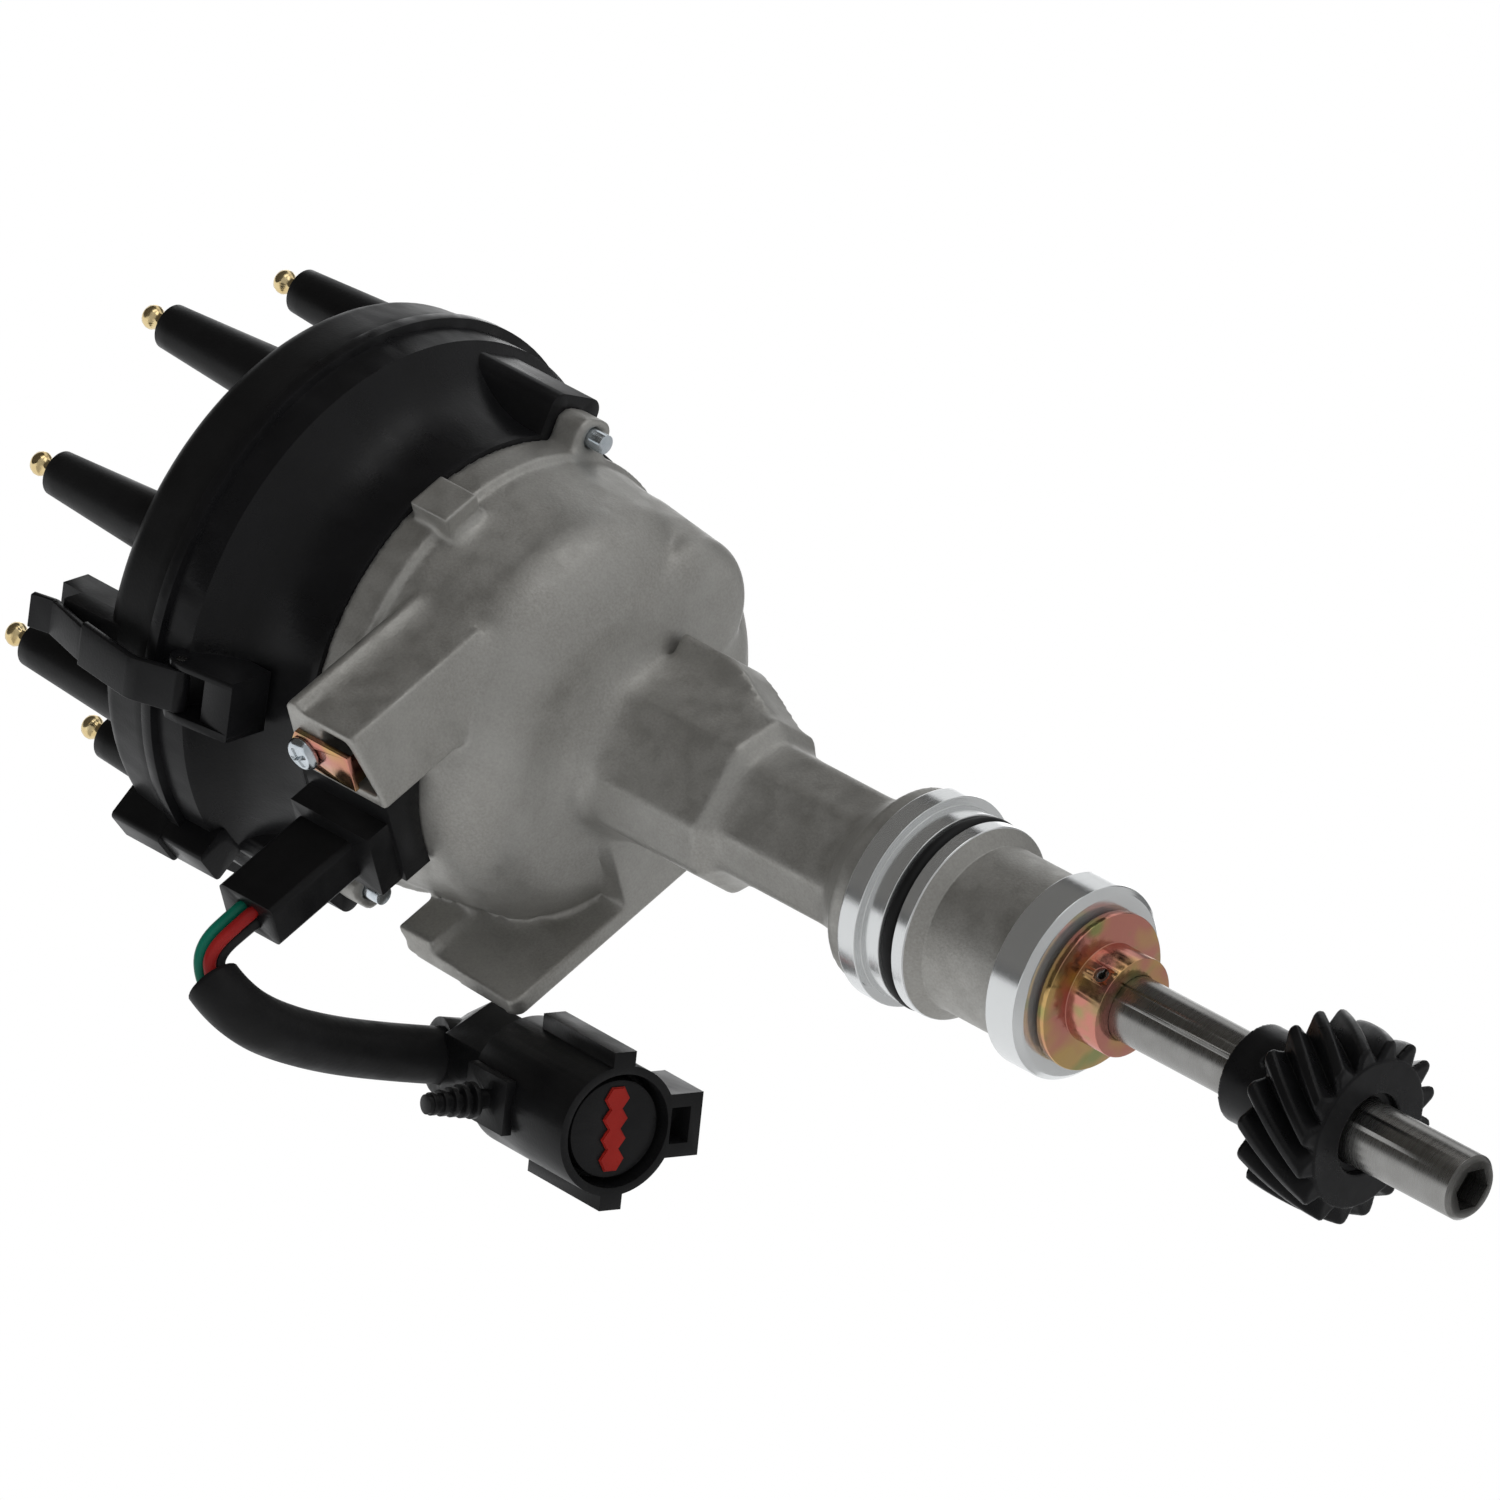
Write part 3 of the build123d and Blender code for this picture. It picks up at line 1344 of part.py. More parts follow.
# Terminals: a foot beside the rotor's path, a stem through the tower and a rounded stud
def terminal(foot_radius, foot_bottom, foot_top):
    """A brass terminal about Z between these heights, its stud above the tower."""
    tip = tower_top_height + terminal_exposed
    ball_bottom = tip - 2 * terminal_ball_radius
    with BuildPart() as pin:
        with BuildSketch(Plane.XZ):
            with BuildLine():
                Polyline(
                    (0, foot_bottom),
                    (foot_radius, foot_bottom),
                    (foot_radius, foot_top),
                    (terminal_radius, foot_top),
                    (terminal_radius, ball_bottom),
                    (terminal_ball_radius, ball_bottom + 0.6),
                    (terminal_ball_radius, tip - terminal_ball_radius),
                )
                RadiusArc((terminal_ball_radius, tip - terminal_ball_radius), (0, tip), -terminal_ball_radius)
                Line((0, tip), (0, foot_bottom))
            make_face()
        revolve(axis=Axis.Z)
    return pin.part


foot_top = inner_top - inner_boss
one_terminal = terminal(terminal_foot_radius, foot_top - terminal_foot_height, foot_top)
cap_terminals = Compound(
    children=[
        Pos(*polar(tower_circle, tower_first_angle + tower * tower_step)) * one_terminal
        for tower in range(tower_count)
    ]
)
cap_terminals.label = "cap_terminals"
export_step(cap_terminals, "parts/cap_terminals.step")

coil_terminal = terminal(terminal_radius + 0.7, brush_guide_top - 1, brush_guide_top)
coil_terminal.label = "coil_terminal"
export_step(coil_terminal, "parts/coil_terminal.step")

# Rotor with its contact blade and screws
with BuildPart() as rotor:
    with BuildSketch(Plane.XZ):
        with BuildLine():
            Polyline(
                (0, shaft_shoulder_height),
                (rotor_hub_radius, shaft_shoulder_height),
                (rotor_hub_radius, rotor_waist_height),
                (rotor_disc_radius, rotor_disc_bottom),
                (rotor_disc_radius, rotor_top_height),
                (0, rotor_top_height),
                close=True,
            )
        make_face()
    revolve(axis=Axis.Z)
    with BuildSketch(Plane.XY.offset(rotor_top_height)):
        with Locations((rotor_arm_reach / 2, 0)):
            Rectangle(rotor_arm_reach, rotor_arm_width)
    extrude(amount=-rotor_arm_depth)
    with BuildSketch(Plane.XY.offset(shaft_shoulder_height)):
        Circle(shaft_tip_radius)
    extrude(amount=shaft_top_height - shaft_shoulder_height, mode=Mode.SUBTRACT)
    with BuildSketch(Plane.XY.offset(rotor_top_height)):
        with Locations((0, rotor_screw_circle), (0, -rotor_screw_circle)):
            Circle(rotor_screw_radius)
    extrude(amount=-rotor_screw_depth, mode=Mode.SUBTRACT)
rotor.part.label = "rotor"
export_step(rotor.part, "parts/rotor.step")

with BuildPart() as rotor_contact:
    with BuildSketch(Plane.XY.offset(rotor_top_height)):
        Circle(rotor_contact_radius)
        with Locations((rotor_blade_radius / 2, 0)):
            Rectangle(rotor_blade_radius, rotor_blade_width)
    extrude(amount=rotor_contact_thickness)
rotor_contact.part.label = "rotor_contact"
export_step(rotor_contact.part, "parts/rotor_contact.step")

with BuildPart() as rotor_screws:
    with BuildSketch(Plane.XY.offset(rotor_top_height)):
        with Locations((0, rotor_screw_circle), (0, -rotor_screw_circle)):
            Circle(rotor_screw_head_radius)
    extrude(amount=rotor_screw_head_height)
    with BuildSketch(Plane.XY.offset(rotor_top_height)):
        with Locations((0, rotor_screw_circle), (0, -rotor_screw_circle)):
            Circle(rotor_screw_radius)
    extrude(amount=-rotor_screw_depth)
rotor_screws.part.label = "rotor_screws"
export_step(rotor_screws.part, "parts/rotor_screws.step")

# Centre brush and the spring above it
brush_bottom = rotor_top_height + rotor_contact_thickness + washer_clearance
brush_top = brush_bottom + brush_length
with BuildPart() as centre_brush:
    with BuildSketch(Plane.XY.offset(brush_bottom)):
        Circle(brush_radius)
    extrude(amount=brush_length)
centre_brush.part.label = "centre_brush"
export_step(centre_brush.part, "parts/centre_brush.step")

spring_bottom = brush_top + spring_wire_radius
spring_travel = brush_guide_top - 1 - spring_wire_radius - spring_bottom
with BuildPart() as brush_spring:
    with BuildLine() as coil:
        Helix(spring_travel / spring_turns, spring_travel, spring_radius, center=(0, 0, spring_bottom))
    with BuildSketch(Plane(origin=coil.line @ 0, z_dir=coil.line % 0)):
        RegularPolygon(spring_wire_radius, 6)
    sweep(path=coil.line, is_frenet=True)
brush_spring.part.label = "brush_spring"
export_step(brush_spring.part, "parts/brush_spring.step")

# Cap clips: a sprung strap from its hinge eye, kinked in over the cap's lug, with a flared tab
clip_points = [
    (clip_pivot_radius + clip_eye_radius - clip_thickness / 2, clip_pivot_height),
    (adaptor_rim_radius + clip_bulge_offset, clip_pivot_height + clip_bulge_rise),
    (adaptor_rim_radius + clip_waist_offset, clip_waist_height),
    (adaptor_rim_radius + clip_kink_offset, clip_waist_height + clip_kink_rise),
    (adaptor_rim_radius + clip_kink_offset + clip_tab_flare, clip_waist_height + clip_kink_rise + clip_tab_rise),
]


def clip_strap():
    """A clip standing in the XZ plane, its strap swept across Y."""
    with BuildPart() as strap:
        with BuildSketch(Plane.XZ):
            with BuildLine():
                FilletPolyline(*clip_points, radius=[6.0, 12.0, 1.2])
            trace(line_width=clip_thickness)
            with Locations((clip_pivot_radius, clip_pivot_height)):
                Circle(clip_eye_radius)
                Circle(clip_pin_radius + running_clearance, mode=Mode.SUBTRACT)
        extrude(amount=clip_width / 2, both=True)
        with BuildSketch(Plane.XY.offset(clip_waist_height)):
            with Locations((clip_pivot_radius, 0)):
                Rectangle(clip_width, 2 * clip_width)
                Rectangle(clip_width, clip_tab_width, mode=Mode.SUBTRACT)
        extrude(amount=clip_kink_rise + 2 * clip_tab_rise, mode=Mode.SUBTRACT)
    return strap.part


def clip_pin():
    """The hinge pin of a clip standing in the XZ plane."""
    with BuildPart() as pin:
        with BuildSketch(Plane.XZ):
            with Locations((clip_pivot_radius, clip_pivot_height)):
                Circle(clip_pin_radius)
        extrude(amount=cheek_side + cheek_thickness, both=True)
    return pin.part


for side, angle in (("a", clip_angle), ("b", clip_angle + 180)):
    for piece_name, piece in (("cap_clip", clip_strap()), ("clip_pin", clip_pin())):
        placed = Rot(0, 0, angle) * piece
        placed.label = f"{piece_name}_{side}"
        export_step(placed, f"parts/{piece_name}_{side}.step")
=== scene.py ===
"""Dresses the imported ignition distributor: cords, castings, materials, light and camera.

All positions are metres in the row frame. The camera repeats the photograph's station.
"""

import json
import math

import bmesh
import bpy
import numpy as np
from mathutils import Matrix, Vector


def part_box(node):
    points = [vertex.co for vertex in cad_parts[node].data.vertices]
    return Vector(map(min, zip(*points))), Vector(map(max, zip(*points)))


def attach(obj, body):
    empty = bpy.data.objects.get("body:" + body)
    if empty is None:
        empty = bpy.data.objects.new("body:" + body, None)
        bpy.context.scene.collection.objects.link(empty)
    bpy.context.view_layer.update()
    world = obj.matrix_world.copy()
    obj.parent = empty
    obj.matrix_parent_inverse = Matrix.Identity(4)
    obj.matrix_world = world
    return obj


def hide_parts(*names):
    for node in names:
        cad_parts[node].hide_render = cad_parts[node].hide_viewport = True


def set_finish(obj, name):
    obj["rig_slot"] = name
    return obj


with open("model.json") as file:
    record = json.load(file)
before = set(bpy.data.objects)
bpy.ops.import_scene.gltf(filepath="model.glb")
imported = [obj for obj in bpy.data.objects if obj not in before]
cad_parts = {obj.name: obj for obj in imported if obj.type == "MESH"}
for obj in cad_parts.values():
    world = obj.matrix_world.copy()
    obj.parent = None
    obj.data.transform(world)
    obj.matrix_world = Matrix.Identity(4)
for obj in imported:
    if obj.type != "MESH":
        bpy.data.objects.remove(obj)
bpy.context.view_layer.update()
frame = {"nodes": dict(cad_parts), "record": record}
MM = 0.001
WELD_DISTANCE = 1e-6


# Camera

PHOTO_RIGHT = Vector((-0.1792, 0.6758, -0.7151))
PHOTO_UP = Vector((0.7120, 0.5907, 0.3799))
PHOTO_BACK = Vector((0.6791, -0.4410, -0.5869))
CAMERA_PLACE = Vector((2.6470, -1.7080, -2.2280))
LENS = 480
SENSOR_WIDTH = 36


def add_camera():
    """A long lens that looks at the part from below, as in the photograph."""
    data = bpy.data.cameras.new("camera")
    data.lens = LENS
    data.sensor_width = SENSOR_WIDTH
    data.clip_end = 50
    camera = bpy.data.objects.new("camera", data)
    right = PHOTO_RIGHT.normalized()
    up = PHOTO_UP.normalized()
    back = right.cross(up).normalized()
    up = back.cross(right)
    place = Matrix((right, up, back)).transposed().to_4x4()
    place.translation = CAMERA_PLACE
    camera.matrix_world = place
    bpy.context.scene.collection.objects.link(camera)
    bpy.context.scene.camera = camera


add_camera()


# Cords

WIRE_ROUTE = [
    (0.0016, -0.0716, 0.1113),
    (0.0015, -0.0793, 0.1118),
    (-0.0024, -0.0872, 0.1150),
    (-0.0070, -0.0902, 0.1126),
    (-0.0102, -0.0916, 0.1054),
    (-0.0160, -0.0879, 0.1042),
]
WIRE_SPACING = 1.45 * MM
WIRE_RADIUS = 1.3 * MM
WIRE_SIDES = 5
SLEEVE_ROUTE = [
    (-0.0072, -0.0902, 0.1120),
    (-0.0103, -0.0920, 0.1048),
    (-0.0267, -0.0803, 0.1030),
    (-0.0441, -0.0621, 0.1000),
    (-0.0535, -0.0479, 0.0931),
]
SLEEVE_RADIUS = 5.75 * MM
SLEEVE_WALL = 1.3 * MM
SLEEVE_SIDES = 11

slot_of = {part["node"]: part["material_slot"] for part in frame["record"]["subparts"]}


def add_curve(name, points, radius, sides):
    """A round tube on a NURBS spline with these control points."""
    data = bpy.data.curves.new(name, "CURVE")
    data.dimensions = "3D"
    # Each point's radius is the tube's: at 1, Blender would make the curve's box 1 m larger
    data.bevel_depth = 1
    data.bevel_resolution = sides
    data.use_fill_caps = True
    data.resolution_u = 16
    spline = data.splines.new("NURBS")
    spline.points.add(len(points) - 1)
    for point, place in zip(spline.points, points):
        point.co = (*place, 1)
        point.radius = radius
    spline.order_u = 3
    spline.use_endpoint_u = True
    spline.use_smooth = True
    curve = bpy.data.objects.new(name, data)
    bpy.context.scene.collection.objects.link(curve)
    return curve


def beside(route, across, up):
    """A route beside this one, set off to its left and upwards."""
    middle = [Vector(place) for place in route]
    moved = []
    for before, place, after in zip([middle[0], *middle], middle, [*middle[1:], middle[-1]]):
        ahead = after - before
        left = Vector((-ahead.y, ahead.x, 0)).normalized()
        over = ahead.cross(left).normalized()
        moved.append(place + left * across + over * up)
    return moved


def add_wire(node, across, up):
    """One wire from the connector into the sleeve."""
    points = beside(WIRE_ROUTE, across * WIRE_SPACING, up * WIRE_SPACING)
    wire = add_curve(f"{node}_lead", points, WIRE_RADIUS, WIRE_SIDES)
    stand_for(wire, node, "housing")
    return wire


def shade(mesh, smooth):
    """Shades all faces of a mesh smoothly, or all flat."""
    mesh.polygons.foreach_set("use_smooth", [smooth] * len(mesh.polygons))


def add_mesh(name, shape, smooth=True):
    """An object made from a bmesh."""
    mesh = bpy.data.meshes.new(name)
    shape.to_mesh(mesh)
    shape.free()
    shade(mesh, smooth)
    obj = bpy.data.objects.new(name, mesh)
    bpy.context.scene.collection.objects.link(obj)
    return obj


def stand_for(obj, node, body):
    """The object takes a CAD node's place, on its body and in its finish."""
    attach(obj, body)
    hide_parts(node)
    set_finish(obj, slot_of[node])
    return obj


# The plug's axis, and the direction from it to its key
PLUG_AXIS = Vector((0.2318, -0.1506, -0.9613)).normalized()
PLUG_KEY = Vector((0.852, 0.510, 0.126))
# The core's outline in millimetres
LOBE_COUNT = 4
LOBE_PITCH = 4.1
LOBE_HALF_WIDTH = 2.85
WAIST_HALF_WIDTH = 1.42
LOBE_END = 2.45
CORE_DEPTH = 5 * MM
CORE_PROUD = 0.5 * MM
CORE_EDGE = 0.25 * MM


def core_outline():
    """The core's corners in millimetres, as places along and across its row."""
    row_end = (LOBE_COUNT - 1) / 2 * LOBE_PITCH
    side = [(-row_end - LOBE_END, WAIST_HALF_WIDTH)]
    for lobe in range(LOBE_COUNT):
        place = lobe * LOBE_PITCH - row_end
        side += [(place, LOBE_HALF_WIDTH), (place + LOBE_PITCH / 2, WAIST_HALF_WIDTH)]
    side[-1] = (row_end + LOBE_END, WAIST_HALF_WIDTH)
    return side + [(place, -reach) for place, reach in reversed(side)]


def add_core():
    """The plug's red core: a row of four six-sided lobes joined by narrow waists."""
    along = (PLUG_KEY - PLUG_AXIS * PLUG_KEY.dot(PLUG_AXIS)).normalized()
    across = PLUG_AXIS.cross(along)
    points = [vertex.co for vertex in frame["nodes"]["plug_core"].data.vertices]
    centre = PLUG_AXIS * max(point.dot(PLUG_AXIS) for point in points)
    for axis in (along, across):
        reach = [point.dot(axis) for point in points]
        centre += axis * (min(reach) + max(reach)) / 2
    floor = centre - PLUG_AXIS * CORE_DEPTH
    shape = bmesh.new()
    corners = []
    for place, reach in core_outline():
        corners.append(shape.verts.new(floor + (along * place + across * reach) * MM))
    raised = bmesh.ops.extrude_face_region(shape, geom=[shape.faces.new(corners)])["geom"]
    top = [part for part in raised if isinstance(part, bmesh.types.BMVert)]
    rim = [part for part in raised if isinstance(part, bmesh.types.BMEdge)]
    bmesh.ops.translate(shape, verts=top, vec=PLUG_AXIS * (CORE_DEPTH + CORE_PROUD))
    bmesh.ops.bevel(shape, geom=rim, offset=CORE_EDGE, segments=2, affect="EDGES")
    bmesh.ops.recalc_face_normals(shape, faces=shape.faces)
    return stand_for(add_mesh("plug_core_lobes", shape, smooth=False), "plug_core", "housing")


def add_sleeve(core):
    """The rubber sleeve over the wires, open at its mouth."""
    sleeve = add_curve("sleeve_tube", SLEEVE_ROUTE, SLEEVE_RADIUS, SLEEVE_SIDES)
    sleeve.data.use_fill_caps = False
    wall = sleeve.modifiers.new("wall", "SOLIDIFY")
    wall.thickness = SLEEVE_WALL
    wall.offset = -1
    stand_for(sleeve, "harness_sleeve", "housing")
    plug = [frame["nodes"][name] for name in ("plug_shell", "plug_insert", "plug_seal", "harness_clip")]
    plug.append(core)
    return sleeve


plug_core = add_core()
dressed = [
    add_wire("wire_green", 1, 1),
    add_wire("wire_red", 1, -1),
    add_wire("wire_black_a", -1, 1),
    add_wire("wire_black_b", -1, -1),
    add_sleeve(plug_core),
    plug_core,
]


# Casting: the housing again, with the soft edges and wide fillets of a die casting

CAST_START = 5.6 * MM
CAST_SINK = 2.0 * MM
CAST_VOXEL = 0.7 * MM
CAST_SMOOTH_ROUNDS = 8
CAST_FILLET_ROUNDS = 150

# Where the hollow corners are filled most, slightly and not at all
SLIGHT_FILLET = 0.14
NECK_START = 46.0 * MM
BOWL_FLOOR = 84.0 * MM
LOBES_END = BOWL_FLOOR + 20 * MM
LOBES_RADIUS = 60 * MM
PLATE_START = -22 * MM
RIM_START = 112.0 * MM
BOWL_INSIDE = 40.6 * MM
SHAFT_BORE = 11 * MM
BLOCK_END = 50.0 * MM

SMOOTH_STEP = 0.50
FILLET_STEP = 0.9
LAST_ROUNDS = 2
LAST_SHRINK = 0.52
ROUNDS_PER_NORMALS = 10


def cast_part():
    """The housing's closed mesh above the start of the cast neck."""
    shape = bmesh.new()
    shape.from_mesh(frame["nodes"]["housing"].data)
    bmesh.ops.remove_doubles(shape, verts=shape.verts, dist=WELD_DISTANCE)
    everything = shape.verts[:] + shape.edges[:] + shape.faces[:]
    cut = bmesh.ops.bisect_plane(
        shape, geom=everything, plane_co=(0, 0, CAST_START), plane_no=(0, 0, 1), clear_inner=True
    )
    rim = [edge for edge in cut["geom_cut"] if isinstance(edge, bmesh.types.BMEdge)]
    bmesh.ops.triangle_fill(shape, use_beauty=True, edges=rim)
    bmesh.ops.recalc_face_normals(shape, faces=shape.faces)
    return shape


def lathe(outline, segments, closed=False):
    """A mesh that turns an outline of (radius, height) in millimetres about the Z axis."""
    shape = bmesh.new()
    points = [shape.verts.new((radius * MM, 0, height * MM)) for radius, height in outline]
    ends = points[1:] + points[:1] if closed else points[1:]
    edges = [shape.edges.new((first, second)) for first, second in zip(points, ends)]
    bmesh.ops.spin(
        shape,
        geom=points + edges,
        cent=(0, 0, 0),
        axis=(0, 0, 1),
        angle=math.tau,
        steps=segments,
        use_merge=True,
    )
    bmesh.ops.remove_doubles(shape, verts=shape.verts, dist=WELD_DISTANCE)
    bmesh.ops.recalc_face_normals(shape, faces=shape.faces)
    return shape


def apply_modifiers(obj):
    """Puts the result of an object's modifiers into its mesh."""
    graph = bpy.context.evaluated_depsgraph_get()
    made = bpy.data.meshes.new_from_object(obj.evaluated_get(graph), depsgraph=graph)
    obj.modifiers.clear()
    obj.data = made


def corner_normals(points, corners):
    """Normals of the vertices of a mesh of quads."""
    first = points[corners[:, 2]] - points[corners[:, 0]]
    second = points[corners[:, 3]] - points[corners[:, 1]]
    across = np.cross(first, second)
    normals = np.zeros_like(points)
    for axis in range(3):
        weights = np.repeat(across[:, axis], 4)
        normals[:, axis] = np.bincount(corners.ravel(), weights, len(points))
    return normals / np.maximum(np.linalg.norm(normals, axis=1, keepdims=True), 1e-12)


def fillet_share(points):
    """How strongly a hollow corner is filled at each point: most between the neck and the bowl."""
    radius = np.hypot(points[:, 0], points[:, 1])
    share = np.full(len(points), SLIGHT_FILLET)
    under_bowl = (points[:, 2] > NECK_START) & (points[:, 2] < LOBES_END)
    share[under_bowl & (radius < LOBES_RADIUS)] = 1.0
    share[points[:, 0] < PLATE_START] = SLIGHT_FILLET
    share[points[:, 2] > RIM_START] = 0
    share[(radius < BOWL_INSIDE) & (points[:, 2] > BOWL_FLOOR)] = 0
    share[radius < SHAFT_BORE] = 0
    share[points[:, 1] < -BLOCK_END] = 0
    return share


def read_points(mesh):
    """The mesh's vertices, and the corners of its quads."""
    points = np.empty(len(mesh.vertices) * 3)
    mesh.vertices.foreach_get("co", points)
    corners = np.array([face.vertices[:] for face in mesh.polygons if len(face.vertices) == 4])
    return points.reshape(-1, 3), corners


def write_points(mesh, points):
    """Puts the vertices back into the mesh."""
    mesh.vertices.foreach_set("co", points.ravel())
    mesh.update()


def round_mesh(mesh, smooth_rounds, fillet_rounds, share_at, shrink):
    """Smooths a mesh of quads, then fills its hollow corners by a share that depends on the place."""
    points, corners = read_points(mesh)
    count = len(points)
    edges = np.empty(len(mesh.edges) * 2, int)
    mesh.edges.foreach_get("vertices", edges)
    edges = edges.reshape(-1, 2)
    start = np.concatenate((edges[:, 0], edges[:, 1]))
    end = np.concatenate((edges[:, 1], edges[:, 0]))
    neighbours = np.bincount(start, minlength=count)[:, None]

    def pull():
        total = np.stack([np.bincount(start, points[end, axis], count) for axis in range(3)], axis=1)
        return total / neighbours - points

    for _ in range(smooth_rounds):
        points += SMOOTH_STEP * pull()
        points -= shrink * pull()
    share = share_at(points)
    for number in range(fillet_rounds):
        if number % ROUNDS_PER_NORMALS == 0:
            normals = corner_normals(points, corners)
        hollow = np.maximum((pull() * normals).sum(axis=1), 0)
        points += normals * (FILLET_STEP * hollow * share)[:, None]
    for _ in range(LAST_ROUNDS):
        points += SMOOTH_STEP * pull()
        points -= LAST_SHRINK * pull()
    write_points(mesh, points)


def remesh(obj, voxel):
    """Gives an object an even mesh of quads."""
    modifier = obj.modifiers.new("voxels", "REMESH")
    modifier.mode = "VOXEL"
    modifier.voxel_size = voxel
    apply_modifiers(obj)
    shade(obj.data, True)


def add_casting():
    """The cast part of the housing, above its turned end."""
    shape = cast_part()
    for vertex in shape.verts:
        if abs(vertex.co.z - CAST_START) < WELD_DISTANCE:
            vertex.co.z -= CAST_SINK
    casting = add_mesh("housing_casting", shape)
    remesh(casting, CAST_VOXEL)
    round_mesh(casting.data, CAST_SMOOTH_ROUNDS, CAST_FILLET_ROUNDS, fillet_share, LAST_SHRINK)
    return stand_for(casting, "housing", "housing")


# The turned end's outline, as radius and height in millimetres
TURNED_OUTLINE = [
    (9.4, 5.2),
    (21.25, 5.2),
    (22.05, 4.4),
    (22.05, 0.0),
    (20.2, 0.0),
    (20.2, -4.7),
    (17.4, -4.7),
    (17.4, -8.0),
    (20.2, -8.0),
    (20.2, -10.9),
    (17.3, -13.6),
    (17.3, -33.1),
    (20.2, -33.1),
    (20.2, -40.4),
    (18.8, -41.8),
    (13.6, -41.8),
    (13.6, -39.0),
    (9.4, -39.0),
]
TURNED_SEGMENTS = 256
TURNED_EDGE = 0.25 * MM


def add_turned_end():
    """The housing's turned seat, groove, barrel and rings."""
    turned = add_mesh("housing_turned", lathe(TURNED_OUTLINE, TURNED_SEGMENTS, closed=True))
    soften(turned, TURNED_EDGE)
    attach(turned, "housing")
    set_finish(turned, slot_of["housing"])
    return turned


GEAR_VOXEL = 0.3 * MM
GEAR_SMOOTH_ROUNDS = 6
GEAR_FILLET_ROUNDS = 6
GEAR_SHRINK = 0.50
GEAR_GROWTH = 0.42 * MM
GEAR_GROWTH_START = 8.5 * MM


def thicken_teeth(mesh):
    """Thickens the gear's teeth and hub, up to the CAD gear's outer radius and end faces."""
    low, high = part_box("drive_gear")
    outer = (high.x - low.x) / 2
    points, corners = read_points(mesh)
    normals = corner_normals(points, corners)
    grown = np.hypot(points[:, 0], points[:, 1]) > GEAR_GROWTH_START
    points[grown] += normals[grown] * GEAR_GROWTH
    points[:, :2] *= np.minimum(1, outer / np.hypot(points[:, 0], points[:, 1]))[:, None]
    points[:, 2] = np.clip(points[:, 2], low.z, high.z)
    write_points(mesh, points)


def everywhere(points):
    """The same full share at each point."""
    return np.ones(len(points))


def add_gear():
    """The drive gear with rounded crests and hollows between its teeth."""
    shape = bmesh.new()
    shape.from_mesh(frame["nodes"]["drive_gear"].data)
    bmesh.ops.remove_doubles(shape, verts=shape.verts, dist=WELD_DISTANCE)
    gear = add_mesh("gear_rounded", shape)
    remesh(gear, GEAR_VOXEL)
    thicken_teeth(gear.data)
    round_mesh(gear.data, GEAR_SMOOTH_ROUNDS, GEAR_FILLET_ROUNDS, everywhere, GEAR_SHRINK)
    return stand_for(gear, "drive_gear", "shaft")


TERMINAL_CIRCLE = 48.5 * MM
TERMINAL_FIRST_ANGLE = 4.5
TERMINAL_COUNT = 8
TERMINAL_SEGMENTS = 40
# One terminal, as radius and height above its tower in millimetres
TERMINAL_OUTLINE = [
    (0.0, -1.0),
    (2.35, -1.0),
    (2.35, 0.9),
    (2.05, 1.5),
    (1.6, 2.1),
    (1.6, 3.3),
    (2.1, 3.9),
    (2.5, 4.7),
    (2.5, 5.4),
    (2.2, 6.2),
    (1.6, 6.75),
    (0.8, 6.98),
    (0.0, 7.0),
]


def add_terminals():
    """Eight turned brass terminals, each with a waist and a round head."""
    tower_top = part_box("cap_terminals")[1].z - TERMINAL_OUTLINE[-1][1] * MM
    shape = bmesh.new()
    for number in range(TERMINAL_COUNT):
        angle = math.radians(TERMINAL_FIRST_ANGLE) + number * math.tau / TERMINAL_COUNT
        one = lathe(TERMINAL_OUTLINE, TERMINAL_SEGMENTS)
        middle = (TERMINAL_CIRCLE * math.cos(angle), TERMINAL_CIRCLE * math.sin(angle), tower_top)
        bmesh.ops.translate(one, verts=one.verts, vec=middle)
        piece = bpy.data.meshes.new("terminal")
        one.to_mesh(piece)
        one.free()
        shape.from_mesh(piece)
        bpy.data.meshes.remove(piece)
    return stand_for(add_mesh("terminals_turned", shape), "cap_terminals", "housing")


# The rod screw's shank and pan head, as radius and height above its seat in millimetres
PAN_HEAD_OUTLINE = [
    (0.0, -11.0),
    (2.0, -11.0),
    (2.0, 0.0),
    (3.4, 0.0),
    (3.7, 0.3),
    (3.7, 0.9),
    (3.4, 1.6),
    (2.8, 2.1),
]
HEAD_HEIGHT = 2.6 * MM
HEAD_SEGMENTS = 96
DOME_RINGS = 20
DOME_RISE = 0.3
RECESS_DEPTH = 1.1 * MM
RECESS_START = 1.95 * MM
RECESS_HALF_WIDTH = 0.42 * MM
RECESS_REACH = 2.3 * MM
RECESS_TURN = 0.5


